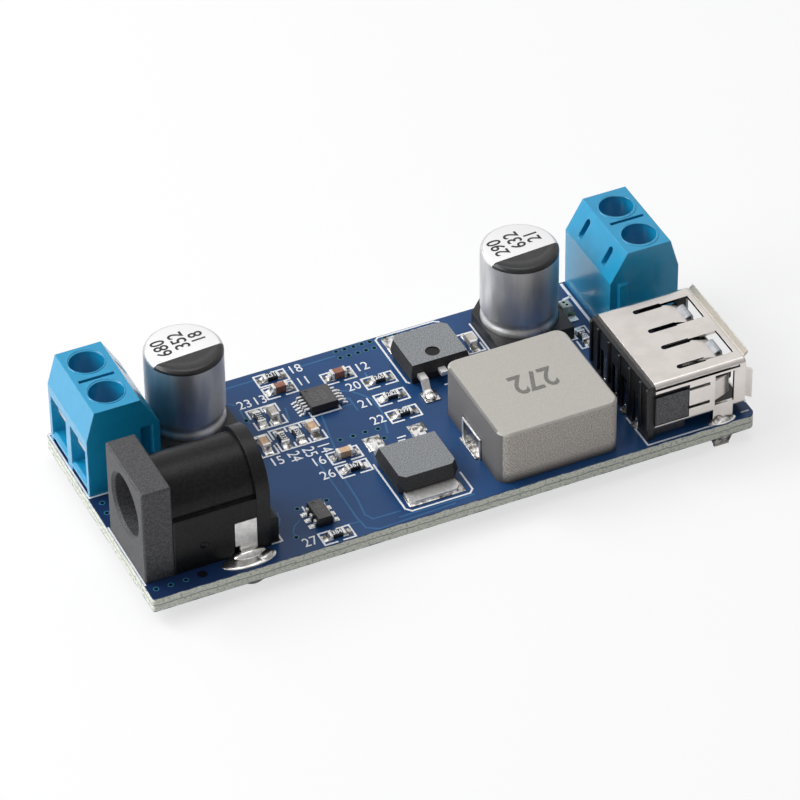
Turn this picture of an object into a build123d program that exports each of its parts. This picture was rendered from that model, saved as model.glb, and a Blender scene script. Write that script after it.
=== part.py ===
from build123d import *

import os
from math import atan2, degrees, hypot

# A step-down power converter on a circuit board. The input end carries a two-pole screw terminal
# and a barrel power jack, the output end a second screw terminal and a USB socket. Between them
# stand two can capacitors, a moulded inductor, two power transistors, two control chips, an
# indicator lamp and small chip parts.
# Lengths are in millimetres. X runs along the board from the input end to the output end, Y from
# its front edge to its back edge and Z up. The origin is under the middle of the board, level
# with the tips of the pins that it stands on.

os.makedirs("parts", exist_ok=True)

# Board and the pins under it
board_thickness = 1.6
board_corner_radius = 0.8
board_edge_radius = 0.25
pin_protrusion = 1.5
drill_clearance = 0.15

# Screw terminal, two poles side by side, wire entries at its front face
pole_pitch = 5.08
terminal_depth = 7.67
terminal_height = 10.2
terminal_shoulder = 6.9
entry_slope_run = 0.94
back_slope_run = 1.9
entry_width = 3.9
entry_sill = 1.2
entry_top = 5.75
entry_lip_thickness = 0.5
cavity_depth = 6.2
cavity_top = 6.05
sill_radius = 0.4
foot_notch_height = 0.6
foot_notch_depth = 0.8
driver_hole_radius = 1.8
driver_hole_x = 3.3
slit_length = 3.75
slit_width = 0.38
slit_depth = 1.5
vent_width = 0.75
vent_height = 2.0
vent_z = 8.4
key_width = 1.15
key_depth = 0.42
key_x = 6.3
key_height = 6.7
key_clearance = 0.08

# Clamp inside each pole
screw_radius = 1.3
screw_head_radius = 1.65
screw_head_height = 1.2
screw_slot_width = 0.5
screw_slot_depth = 0.6
screw_slot_turn = 35
screw_tip_clearance = 0.25
thread_clearance = 0.08
screw_travel = 2.0
frame_length = 4.5
frame_width = 3.7
frame_wall = 0.5
frame_offset = 0.4
frame_floor = 0.6
frame_top = 1.0
frame_top_height = 5.9
frame_seat_gap = 0.05
lip_plate_thickness = 0.3
lip_plate_width = 3.1
lip_plate_height = 1.85
lip_plate_inset = 0.6
guard_thickness = 0.4
guard_length = 4.0
guard_side_clearance = 0.1
guard_tip_gap = 0.05
guard_nose_rise = 0.25
terminal_pin_width = 0.9

# Barrel power jack, plug side towards the board's input edge
jack_width = 9.0
jack_height = 10.93
jack_block_length = 3.1
jack_body_length = 11.75
jack_axis_height = 6.43
jack_bore_radius = 3.15
jack_bore_depth = 9.6
jack_mouth_chamfer = 0.3
jack_barrel_radius = 4.05
jack_ledge_height = 6.4
jack_groove_height = 0.7
jack_groove_depth = 0.5
jack_flange_thickness = 1.4
jack_foot_depth = 0.9
jack_foot_height = 3.2
jack_foot_inset = 0.25
jack_foot_radius = 0.3
jack_edge_chamfer = 0.15
centre_pin_radius = 1.0
centre_pin_inset = 1.3
centre_pin_nose = 0.4
centre_pin_shank_width = 1.3
tab_thickness = 0.4
tab_width = 2.4
tab_clearance = 0.1
rear_tab_inset = 0.3
spring_width = 2.6
spring_bow = 0.75
spring_front_inset = 3.6
spring_foot_x = 9.0
spring_run = 0.8
spring_thickness = 0.3
spring_front_clearance = 0.5
switch_tab_end_gap = 0.05
switch_tab_width = 2.3
switch_tab_top = 4.05
switch_neck_width = 1.8
switch_neck_height = 1.2
switch_neck_offset = 0.25

# USB socket, mouth towards the board's output edge
usb_width = 13.1
usb_height = 5.7
usb_length = 9.95
usb_raise = 1.3
usb_wall = 0.3
usb_corner_radius = 0.6
usb_seam_height = 0.3
usb_seam_margin = 0.65
usb_lip_reach = 0.5
usb_lip_width = 11.8
usb_side_lip_height = 3.5
finger_spread = 6.2
finger_width = 3.0
finger_slot = 0.35
finger_root = 3.55
finger_bend = 6.5
finger_window_end = 9.35
finger_clearance = 0.1
finger_overlap = 0.2
finger_tip_gap = 0.75
side_finger_width = 2.4
side_tab_length = 2.1
side_tab_width = 1.9
side_window_start = 6.6
side_window_end = 8.7
side_window_height = 3.7
side_finger_drop = 0.6
side_finger_tip_gap = 0.3
side_notch_length = 3.75
side_notch_top_gap = 0.8
usb_leg_x = 7.55
usb_leg_width = 2.2
usb_leg_foot_width = 1.6
usb_leg_shoulder = 0.3
tongue_width = 11.1
tongue_thickness = 1.84
tongue_top_gap = 0.75
tongue_length = 5.1
usb_rib_depth = 0.65
usb_pin_width = 0.7
usb_pin_thickness = 0.3
usb_pin_inner_pitch = 2.0
usb_pin_outer_pitch = 7.0
usb_contact_width = 1.0
usb_contact_shoulder = 0.6
tongue_chamfer = 0.35
strip_end_gap = 0.8
strip_end_clearance = 0.2

# Can capacitors
can_radius = 4.0
can_height = 10.2
can_top_chamfer = 0.35
bead_height = 2.42
bead_top = 3.0
bead_bottom = 1.75
bead_depth = 0.3
cap_base_size = 8.4
cap_base_height = 1.0
cap_base_chamfer = 1.8
cap_base_collar = 0.5
cap_collar_clearance = 0.05
cap_lead_width = 0.9
cap_lead_thickness = 0.2
cap_lead_reach = 0.35
cap_lead_inset = 2.6

# Moulded inductor
inductor_size = 13.05
inductor_height = 6.1
inductor_corner_radius = 1.2
inductor_top_chamfer = 0.2
clip_width = 4.1
clip_height = 2.5
clip_thickness = 0.25
clip_foot = 2.6

# Power transistors
power_body_width = 6.6
power_body_length = 5.8
power_body_height = 2.35
power_parting_height = 1.1
power_draft = 0.28
power_corner_chamfer = 0.7
dimple_x = 0.2
dimple_y = 1.28
dimple_radius = 0.75
dimple_depth = 0.12
power_tab_width = 5.4
power_tab_reach = 1.35
power_tab_thickness = 0.5
power_tab_chamfer = 0.5
power_lead_pitch = 4.56
power_lead_width = 0.75
power_lead_thickness = 0.45
power_lead_reach = 2.7
power_lead_foot = 1.2
power_lead_bend_run = 0.55
power_lead_level = 1.0
power_stub_reach = 0.9

# Small control chips: body along the lead row, body across it, height, tip to tip, pitch, lead
controller_body = 3.0
controller_height = 1.0
controller_span = 4.9
controller_pitch = 0.5
controller_lead_width = 0.22
controller_lead_count = 5
charger_row_length = 2.95
charger_body = 1.6
charger_height = 1.1
charger_span = 2.8
charger_pitch = 0.95
charger_lead_width = 0.4
charger_lead_count = 3
chip_standoff = 0.1
small_lead_thickness = 0.15
small_lead_foot = 0.38
small_lead_slope = 0.1
chip_draft_angle = 8
mark_inset = 0.5
mark_radius = 0.22
mark_depth = 0.05

# Chip resistors, chip capacitors and the indicator lamp
chip_length = 1.6
chip_width = 0.8
resistor_height = 0.45
capacitor_chip_height = 0.8
chip_end_length = 0.32
chip_end_skin = 0.02
lamp_length = 2.0
lamp_width = 1.25
lamp_base_height = 0.35
lamp_lens_height = 0.75
lamp_lens_length = 1.3
lamp_notch_radius = 0.25
lens_draft_angle = 6
lens_edge_radius = 0.12

# Solder round the pins
solder_reach = 0.5
solder_height = 1.1
solder_gap = 0.02
solder_corner = 0.29
solder_tip_spread = 0.25

# Gaps between neighbours along the front row, from the input edge to the output edge
input_edge_gap = 0.24
charger_gap = 3.6
front_chip_gap = 3.85
low_transistor_gap = 1.25
inductor_gap = 3.19
usb_gap = 3.56
usb_edge_gap = 1.05

# Gaps between neighbours along the back row
input_cap_gap = 0.87
filter_chip_gap = 2.37
controller_gap = 2.15
column_chip_gap = 3.65
high_transistor_gap = 1.68
snubber_gap = 1.36
output_cap_gap = 1.03
lamp_gap = 0.45
output_terminal_gap = 1.45
output_edge_gap = 0.05

# Gaps between neighbours across the board
jack_front_gap = 2.45
jack_terminal_gap = 5.19
input_terminal_back_gap = 0.7
input_cap_back_gap = 0.82
usb_front_gap = 0.55
usb_terminal_gap = 3.44
output_terminal_back_gap = 0.25
inductor_front_gap = 0.94
inductor_cap_gap = 4.7
output_cap_back_gap = 0.41

# Middles of small parts, from the board's front edge and then from its back edge
low_transistor_y = 6.2
charger_y = 4.25
charger_chip_y = 1.1
front_resistor_y = 9.55
front_capacitor_y = 11.8
high_transistor_inset = 5.9
controller_inset = 7.2
lamp_inset = 4.6
back_resistor_inset = 1.55
back_capacitor_inset = 3.65
cross_row_inset = 10.9

# Small chips, set off from the part that each serves
back_chip_offset = 2.75
driver_chip_offset = 3.46
driver_chip_drop = 0.45
column_chip_rise = 0.7
column_chip_pitch = 2.93
filter_chip_rise = 0.2
cross_row_offset = 0.85
cross_row_pitch = 1.6
cross_chip_offset = 1.2
cross_chip_drop = 0.1
charger_chip_offset = 0.4
snubber_rise = 0.9
lamp_resistor_offset = 0.2
lamp_resistor_drop = 3.77

# Places along X, from the board's input edge
terminal_width = 2 * pole_pitch
jack_length = jack_body_length + jack_flange_thickness + jack_foot_depth
charger_x = input_edge_gap + jack_length + charger_gap + charger_span / 2
front_chip_x = charger_x + charger_span / 2 + front_chip_gap + chip_length / 2
low_transistor_x = front_chip_x + chip_length / 2 + low_transistor_gap + power_body_width / 2
inductor_x = low_transistor_x + power_body_width / 2 + inductor_gap + inductor_size / 2
front_row_length = inductor_x + inductor_size / 2 + usb_gap + usb_length + usb_edge_gap
input_cap_x = input_edge_gap + terminal_depth + input_cap_gap + cap_base_size / 2
filter_chip_x = input_cap_x + cap_base_size / 2 + filter_chip_gap + chip_width / 2
filter_chip_pitch = chip_width + 0.65
controller_x = (filter_chip_x + filter_chip_pitch + chip_width / 2 + controller_gap
                + controller_span / 2)
column_chip_x = controller_x + controller_span / 2 + column_chip_gap + chip_length / 2
high_transistor_x = column_chip_x + chip_length / 2 + high_transistor_gap + power_body_width / 2
snubber_x = high_transistor_x + power_body_width / 2 + snubber_gap + chip_width / 2
output_cap_x = snubber_x + chip_width / 2 + output_cap_gap + cap_base_size / 2
lamp_x = output_cap_x + cap_base_size / 2 + lamp_gap + lamp_width / 2
back_row_length = (lamp_x + lamp_width / 2 + output_terminal_gap + terminal_depth
                   + output_edge_gap)
board_length = max(front_row_length, back_row_length)
usb_mouth_x = board_length - usb_edge_gap
output_face_x = board_length - output_edge_gap

# Places along Y, from the board's front edge
board_width = max(
    jack_front_gap + jack_width + jack_terminal_gap + terminal_width + input_terminal_back_gap,
    usb_front_gap + usb_width + usb_terminal_gap + terminal_width + output_terminal_back_gap,
    inductor_front_gap + inductor_size + inductor_cap_gap + cap_base_size + output_cap_back_gap)
jack_y = jack_front_gap + jack_width / 2
usb_y = usb_front_gap + usb_width / 2
inductor_y = inductor_front_gap + inductor_size / 2
input_terminal_y = board_width - input_terminal_back_gap - terminal_width / 2
output_terminal_y = board_width - output_terminal_back_gap - terminal_width / 2
input_cap_y = board_width - input_cap_back_gap - cap_base_size / 2
output_cap_y = board_width - output_cap_back_gap - cap_base_size / 2
high_transistor_y = board_width - high_transistor_inset
controller_y = board_width - controller_inset
lamp_y = board_width - lamp_inset

# Heights
# A raised screw's tip stays clear under the clamp frame's top
screw_tip_height = frame_top_height - frame_top - screw_tip_clearance - screw_travel
board_top = pin_protrusion + board_thickness


def seat(x, y, turn=0.0, z=0.0):
    """A place on the board's top face, x and y from its front corner at the input edge."""
    return Location((x - board_length / 2, y - board_width / 2, board_top + z), (0, 0, turn))


def at(place, plane):
    """A plane of the origin, carried to a seat."""
    return Plane(place * plane.location)


def finish(builder, label):
    """Name a finished piece and write it as a file of its own."""
    builder.part.label = label
    export_step(builder.part, f"parts/{label}.step")


# Where each part stands. A terminal, the jack and the USB socket start at the face that a wire or
# a plug meets, and their own +X runs inwards from it.
input_terminal_seat = seat(input_edge_gap, input_terminal_y)
output_terminal_seat = seat(output_face_x, output_terminal_y, 180)
jack_seat = seat(input_edge_gap, jack_y)
usb_seat = seat(usb_mouth_x - usb_length, usb_y)

pole_offsets = (-pole_pitch / 2, pole_pitch / 2)
frame_start = driver_hole_x - frame_length / 2 + frame_offset
terminal_pin_x = frame_start + frame_length / 2

rear_tab_x = jack_body_length + rear_tab_inset + tab_thickness / 2
switch_tab_x = jack_body_length - switch_tab_end_gap - switch_tab_width / 2
switch_tab_y = -jack_width / 2 + tab_thickness / 2
centre_pin_end = jack_bore_depth - tab_clearance
usb_pin_x = -usb_rib_depth / 2
usb_pin_offsets = (-usb_pin_outer_pitch / 2, -usb_pin_inner_pitch / 2,
                   usb_pin_inner_pitch / 2, usb_pin_outer_pitch / 2)
usb_leg_y = usb_width / 2 - usb_wall / 2


def pin_places():
    """Each pin that goes through the board: its seat, length along its own X, width along Y."""
    places = []
    for terminal in (input_terminal_seat, output_terminal_seat):
        for offset in pole_offsets:
            places.append((terminal * Location((terminal_pin_x, offset, 0)),
                           terminal_pin_width, terminal_pin_width))
    places.append((jack_seat * Location((rear_tab_x, 0, 0)), tab_thickness, tab_width))
    places.append((jack_seat * Location((spring_foot_x, 0, 0)), tab_thickness, tab_width))
    places.append((jack_seat * Location((switch_tab_x + switch_neck_offset, switch_tab_y, 0)),
                   switch_neck_width, tab_thickness))
    for offset in usb_pin_offsets:
        places.append((usb_seat * Location((usb_pin_x, offset, 0)),
                       usb_pin_thickness, usb_pin_width))
    for side in (-1, 1):
        places.append((usb_seat * Location((usb_leg_x, side * usb_leg_y, 0)),
                       usb_leg_foot_width, usb_wall))
    return places


with BuildPart() as board:
    with BuildSketch(Plane.XY.offset(pin_protrusion)) as outline:
        Rectangle(board_length, board_width)
        corner = outline.vertices().group_by(Axis.X)[-1].sort_by(Axis.Y)[0]
        fillet(corner, board_corner_radius)
        fillet(outline.vertices().group_by(Axis.X)[0], board_edge_radius)
    extrude(amount=board_thickness)
    with BuildSketch(Plane.XY.offset(pin_protrusion)):
        for place, length, width in pin_places():
            with Locations(place):
                if length == width:
                    Circle(hypot(length, width) / 2 + drill_clearance)
                else:
                    SlotOverall(max(length, width) + 2 * drill_clearance,
                                min(length, width) + 2 * drill_clearance,
                                rotation=0 if length > width else 90)
    extrude(amount=board_thickness, mode=Mode.SUBTRACT)
finish(board, "board")


def terminal_housing(place, label):
    """Moulded housing of a two-pole screw terminal, open at the wire entries and driver holes."""
    half = terminal_width / 2
    with BuildPart() as housing:
        with BuildSketch(at(place, Plane.XZ.offset(-half))):
            with BuildLine():
                Polyline((0, 0), (0, terminal_shoulder), (entry_slope_run, terminal_height),
                         (terminal_depth - back_slope_run, terminal_height),
                         (terminal_depth, terminal_shoulder), (terminal_depth, 0), close=True)
            make_face()
        extrude(amount=terminal_width)
        for offset in pole_offsets:
            pole = place * Location((0, offset, 0))
            with BuildSketch(at(pole, Plane.XZ.offset(-entry_width / 2))):
                with BuildLine():
                    sill = TangentArc((0, entry_sill - sill_radius), (sill_radius, entry_sill),
                                      tangent=(0, 1))
                    Polyline(sill @ 0, (-1, entry_sill - sill_radius), (-1, entry_top),
                             (entry_lip_thickness, entry_top), (entry_lip_thickness, cavity_top),
                             (cavity_depth, cavity_top), (cavity_depth, entry_sill), sill @ 1)
                make_face()
            extrude(amount=entry_width, mode=Mode.SUBTRACT)
            with BuildSketch(at(pole, Plane.XZ.offset(-entry_width / 2))):
                with Locations((0, 0)):
                    Rectangle(foot_notch_depth, foot_notch_height, align=(Align.MIN, Align.MIN))
            extrude(amount=entry_width, mode=Mode.SUBTRACT)
            with BuildSketch(at(pole, Plane.XY.offset(cavity_top))):
                with Locations((driver_hole_x, 0)):
                    Circle(driver_hole_radius)
            extrude(amount=terminal_height, mode=Mode.SUBTRACT)
            with BuildSketch(at(pole, Plane.XY)):
                with Locations((terminal_pin_x, 0)):
                    hole_width = terminal_pin_width + 2 * drill_clearance
                    Rectangle(hole_width, hole_width)
            extrude(amount=entry_sill, mode=Mode.SUBTRACT)
            with BuildSketch(at(pole, Plane.YZ.offset(driver_hole_x))):
                with Locations((0, vent_z)):
                    SlotOverall(vent_height, vent_width, rotation=90)
            extrude(amount=terminal_depth, mode=Mode.SUBTRACT)
        with BuildSketch(at(place, Plane.XY.offset(terminal_height))):
            with Locations((driver_hole_x, 0)):
                Rectangle(slit_length, slit_width)
        extrude(amount=-slit_depth, mode=Mode.SUBTRACT)
        with BuildSketch(at(place, Plane.XY)):
            with Locations((key_x, half)):
                Trapezoid(key_width, key_depth, 105, rotation=180,
                          align=(Align.CENTER, Align.MAX))
        extrude(amount=key_height)
        with BuildSketch(at(place, Plane.XY)):
            with Locations((key_x, -half)):
                Trapezoid(key_width + 2 * key_clearance, key_depth + key_clearance, 105,
                          rotation=180, align=(Align.CENTER, Align.MAX))
        extrude(amount=key_height + key_clearance, mode=Mode.SUBTRACT)
    finish(housing, label)
    return housing


def terminal_contacts(place, label):
    """The two fixed clamp frames, each bent round its pole with a lip at the entry and a pin."""
    floor_height = entry_sill + frame_seat_gap
    with BuildPart() as contacts:
        for offset in pole_offsets:
            pole = place * Location((0, offset, 0))
            with BuildSketch(at(pole, Plane.YZ.offset(frame_start))):
                with Locations((0, floor_height)):
                    Rectangle(frame_width, frame_top_height - floor_height,
                              align=(Align.CENTER, Align.MIN))
                with Locations((0, floor_height + frame_floor)):
                    Rectangle(frame_width - 2 * frame_wall,
                              frame_top_height - frame_top - floor_height - frame_floor,
                              align=(Align.CENTER, Align.MIN), mode=Mode.SUBTRACT)
            extrude(amount=frame_length)
            with BuildSketch(at(pole, Plane.XZ.offset(-lip_plate_width / 2))):
                top = entry_top - frame_seat_gap
                with BuildLine():
                    Polyline((lip_plate_inset, top - lip_plate_height), (lip_plate_inset, top),
                             (frame_start, top), (frame_start, top - lip_plate_thickness),
                             (lip_plate_inset + lip_plate_thickness, top - lip_plate_thickness),
                             (lip_plate_inset + lip_plate_thickness, top - lip_plate_height),
                             close=True)
                make_face()
            extrude(amount=lip_plate_width)
            with BuildSketch(at(pole, Plane.XY.offset(floor_height))):
                with Locations((terminal_pin_x, 0)):
                    Rectangle(terminal_pin_width, terminal_pin_width)
            extrude(amount=-(floor_height + board_top))
            with BuildSketch(at(pole, Plane.XY.offset(frame_top_height))):
                with Locations((driver_hole_x, 0)):
                    Circle(screw_radius + thread_clearance)
            extrude(amount=-frame_top, mode=Mode.SUBTRACT)
    finish(contacts, label)
    return contacts


def clamp_screw(place, label):
    """Slotted screw on the driver hole's axis, tip just above the guard."""
    with BuildPart() as screw:
        head_bottom = frame_top_height + guard_tip_gap
        with BuildSketch(at(place, Plane.XY.offset(screw_tip_height))):
            Circle(screw_radius)
        extrude(amount=head_bottom - screw_tip_height)
        with BuildSketch(at(place, Plane.XY.offset(head_bottom))):
            Circle(screw_head_radius)
        extrude(amount=screw_head_height)
        with BuildSketch(at(place, Plane.XY.offset(head_bottom + screw_head_height))):
            Rectangle(3 * screw_head_radius, screw_slot_width, rotation=screw_slot_turn)
        extrude(amount=-screw_slot_depth, mode=Mode.SUBTRACT)
    finish(screw, label)
    return screw


def wire_guard(place, label):
    """Plate under the screw's tip that presses on the wire, its front edge turned up."""
    with BuildPart() as guard:
        width = frame_width - 2 * frame_wall - 2 * guard_side_clearance
        top = screw_tip_height - guard_tip_gap
        start = frame_start + guard_side_clearance
        with BuildSketch(at(place, Plane.XZ.offset(-width / 2))):
            with BuildLine() as spine:
                Polyline((start, top - guard_thickness / 2 + guard_nose_rise),
                         (start + guard_nose_rise, top - guard_thickness / 2),
                         (start + guard_length, top - guard_thickness / 2))
                fillet(spine.vertices().sort_by(Axis.X)[1:2], guard_nose_rise)
            trace(line_width=guard_thickness)
        extrude(amount=width)
    finish(guard, label)
    return guard


for end, terminal in (("input", input_terminal_seat), ("output", output_terminal_seat)):
    terminal_housing(terminal, f"{end}_terminal_housing")
    terminal_contacts(terminal, f"{end}_terminal_contacts")
    for number, offset in enumerate(pole_offsets, start=1):
        axis_place = terminal * Location((driver_hole_x, offset, 0))
        clamp_screw(axis_place, f"{end}_screw_{number}")
        wire_guard(terminal * Location((0, offset, 0)), f"{end}_guard_{number}")


def on_seat(place, x=0.0, y=0.0, z=0.0):
    """A place given in the seat's own directions."""
    return place * Location((x, y, z))


with BuildPart() as jack_housing:
    half = jack_width / 2
    with BuildSketch(at(jack_seat, Plane.YZ)):
        Rectangle(jack_width, jack_height, align=(Align.CENTER, Align.MIN))
    extrude(amount=jack_block_length)
    chamfer(jack_housing.edges().filter_by(lambda e: e.center().Z > board_top + jack_edge_chamfer),
            jack_edge_chamfer)
    with BuildSketch(at(jack_seat, Plane.YZ.offset(jack_block_length))):
        Rectangle(jack_width, jack_ledge_height, align=(Align.CENTER, Align.MIN))
        with Locations((0, jack_ledge_height)):
            Rectangle(jack_width - 2 * jack_groove_depth, jack_groove_height,
                      align=(Align.CENTER, Align.MIN))
        with Locations((0, jack_axis_height)):
            Circle(jack_barrel_radius)
    extrude(amount=jack_body_length - jack_block_length)
    with BuildSketch(at(jack_seat, Plane.YZ)):
        with Locations((0, jack_axis_height)):
            Circle(jack_bore_radius)
    extrude(amount=jack_bore_depth, mode=Mode.SUBTRACT)
    mouth = (jack_housing.edges().filter_by(GeomType.CIRCLE).sort_by(Axis.X)[0])
    chamfer(mouth, jack_mouth_chamfer)
    with BuildSketch(at(jack_seat, Plane.YZ.offset(jack_bore_depth))):
        with Locations((0, jack_axis_height)):
            shank_hole_width = centre_pin_shank_width + 2 * tab_clearance
            Rectangle(shank_hole_width, shank_hole_width)
    extrude(amount=jack_body_length, mode=Mode.SUBTRACT)
    with BuildSketch(at(jack_seat, Plane.XZ.offset(-spring_width / 2 - tab_clearance))):
        floor = jack_axis_height - jack_bore_radius - spring_bow
        with BuildLine():
            slot_start = spring_front_inset - spring_front_clearance
            Polyline((slot_start, floor), (slot_start, jack_axis_height),
                     (spring_foot_x + tab_thickness / 2 + tab_clearance, jack_axis_height),
                     (spring_foot_x + tab_thickness / 2 + tab_clearance, 0),
                     (spring_foot_x - tab_thickness / 2 - tab_clearance, 0),
                     (spring_foot_x - tab_thickness / 2 - tab_clearance, floor), close=True)
        make_face()
    extrude(amount=spring_width + 2 * tab_clearance, mode=Mode.SUBTRACT)
    with BuildSketch(at(jack_seat, Plane.XZ.offset(half - tab_thickness - tab_clearance))):
        with Locations((switch_tab_x, 0)):
            Rectangle(switch_tab_width + 2 * tab_clearance, switch_tab_top + tab_clearance,
                      align=(Align.CENTER, Align.MIN))
    extrude(amount=tab_thickness + 1, mode=Mode.SUBTRACT)
finish(jack_housing, "jack_housing")

with BuildPart() as jack_cap:
    with BuildSketch(at(jack_seat, Plane.YZ.offset(jack_body_length))):
        Rectangle(jack_width, jack_axis_height, align=(Align.CENTER, Align.MIN))
        with Locations((0, jack_axis_height)):
            Circle(jack_width / 2)
    extrude(amount=jack_flange_thickness)
    with BuildSketch(at(jack_seat, Plane.YZ.offset(jack_body_length + jack_flange_thickness))):
        Rectangle(jack_width - 2 * jack_foot_inset, jack_foot_height, align=(Align.CENTER, Align.MIN))
    extrude(amount=jack_foot_depth)
    fillet(jack_cap.edges().filter_by(Axis.Y).sort_by(Axis.X)[-1], jack_foot_radius)
    with BuildSketch(at(jack_seat, Plane.YZ.offset(jack_body_length))):
        slot_top = jack_axis_height + centre_pin_radius + 2 * tab_clearance
        Rectangle(tab_width + 2 * tab_clearance, slot_top, align=(Align.CENTER, Align.MIN))
    extrude(amount=rear_tab_inset + tab_thickness + tab_clearance, mode=Mode.SUBTRACT)
finish(jack_cap, "jack_rear_cap")

with BuildPart() as centre_pin:
    with BuildSketch(at(on_seat(jack_seat, z=jack_axis_height), Plane.XZ)):
        with BuildLine():
            Polyline((centre_pin_inset, 0),
                     (centre_pin_inset, centre_pin_radius - centre_pin_nose),
                     (centre_pin_inset + centre_pin_nose, centre_pin_radius),
                     (centre_pin_end, centre_pin_radius), (centre_pin_end, 0), close=True)
        make_face()
    revolve(axis=Axis((jack_seat * Location((0, 0, jack_axis_height))).position, (1, 0, 0)))
    with BuildSketch(at(jack_seat, Plane.YZ.offset(centre_pin_end))):
        with Locations((0, jack_axis_height)):
            Rectangle(centre_pin_shank_width, centre_pin_shank_width)
    extrude(amount=rear_tab_x - centre_pin_end)
    with BuildSketch(at(jack_seat, Plane.YZ.offset(rear_tab_x - tab_thickness / 2))):
        with Locations((0, jack_axis_height + centre_pin_radius)):
            Rectangle(tab_width, jack_axis_height + centre_pin_radius + board_top,
                      align=(Align.CENTER, Align.MAX))
    extrude(amount=tab_thickness)
finish(centre_pin, "jack_centre_pin")

with BuildPart() as sleeve_spring:
    with BuildSketch(at(jack_seat, Plane.XZ.offset(-spring_width / 2))):
        level = jack_axis_height - jack_bore_radius - spring_bow + tab_thickness
        with BuildLine() as spine:
            bow = ThreePointArc((spring_front_inset, level),
                                ((spring_front_inset + spring_foot_x) / 2, level + spring_bow),
                                (spring_foot_x - spring_run, level))
            Line(bow @ 1, (spring_foot_x, level))
        trace(line_width=spring_thickness)
    extrude(amount=spring_width)
    with BuildSketch(at(jack_seat, Plane.XY.offset(level))):
        with Locations((spring_foot_x, 0)):
            Rectangle(tab_thickness, tab_width)
    extrude(amount=-(level + board_top))
finish(sleeve_spring, "jack_sleeve_spring")

with BuildPart() as switch_contact:
    with BuildSketch(at(jack_seat, Plane.XZ.offset(jack_width / 2 - tab_thickness))):
        with Locations((switch_tab_x, switch_tab_top)):
            Rectangle(switch_tab_width, switch_tab_top - switch_neck_height,
                      align=(Align.CENTER, Align.MAX))
        with Locations((switch_tab_x + switch_neck_offset, switch_neck_height)):
            Rectangle(switch_neck_width, switch_neck_height + board_top,
                      align=(Align.CENTER, Align.MAX))
    extrude(amount=tab_thickness)
finish(switch_contact, "jack_switch_contact")


def finger_outline(plane, start, bend, window_end, width):
    """Two slots beside a spring finger and the window that its bent tip stands in."""
    with BuildSketch(plane) as outline:
        for side in (-1, 1):
            with Locations(((start + window_end) / 2, side * (width + finger_slot) / 2)):
                Rectangle(window_end - start, finger_slot)
        with Locations(((bend + window_end) / 2, 0)):
            Rectangle(window_end - bend, width + 2 * finger_slot)
    return outline.sketch


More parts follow.
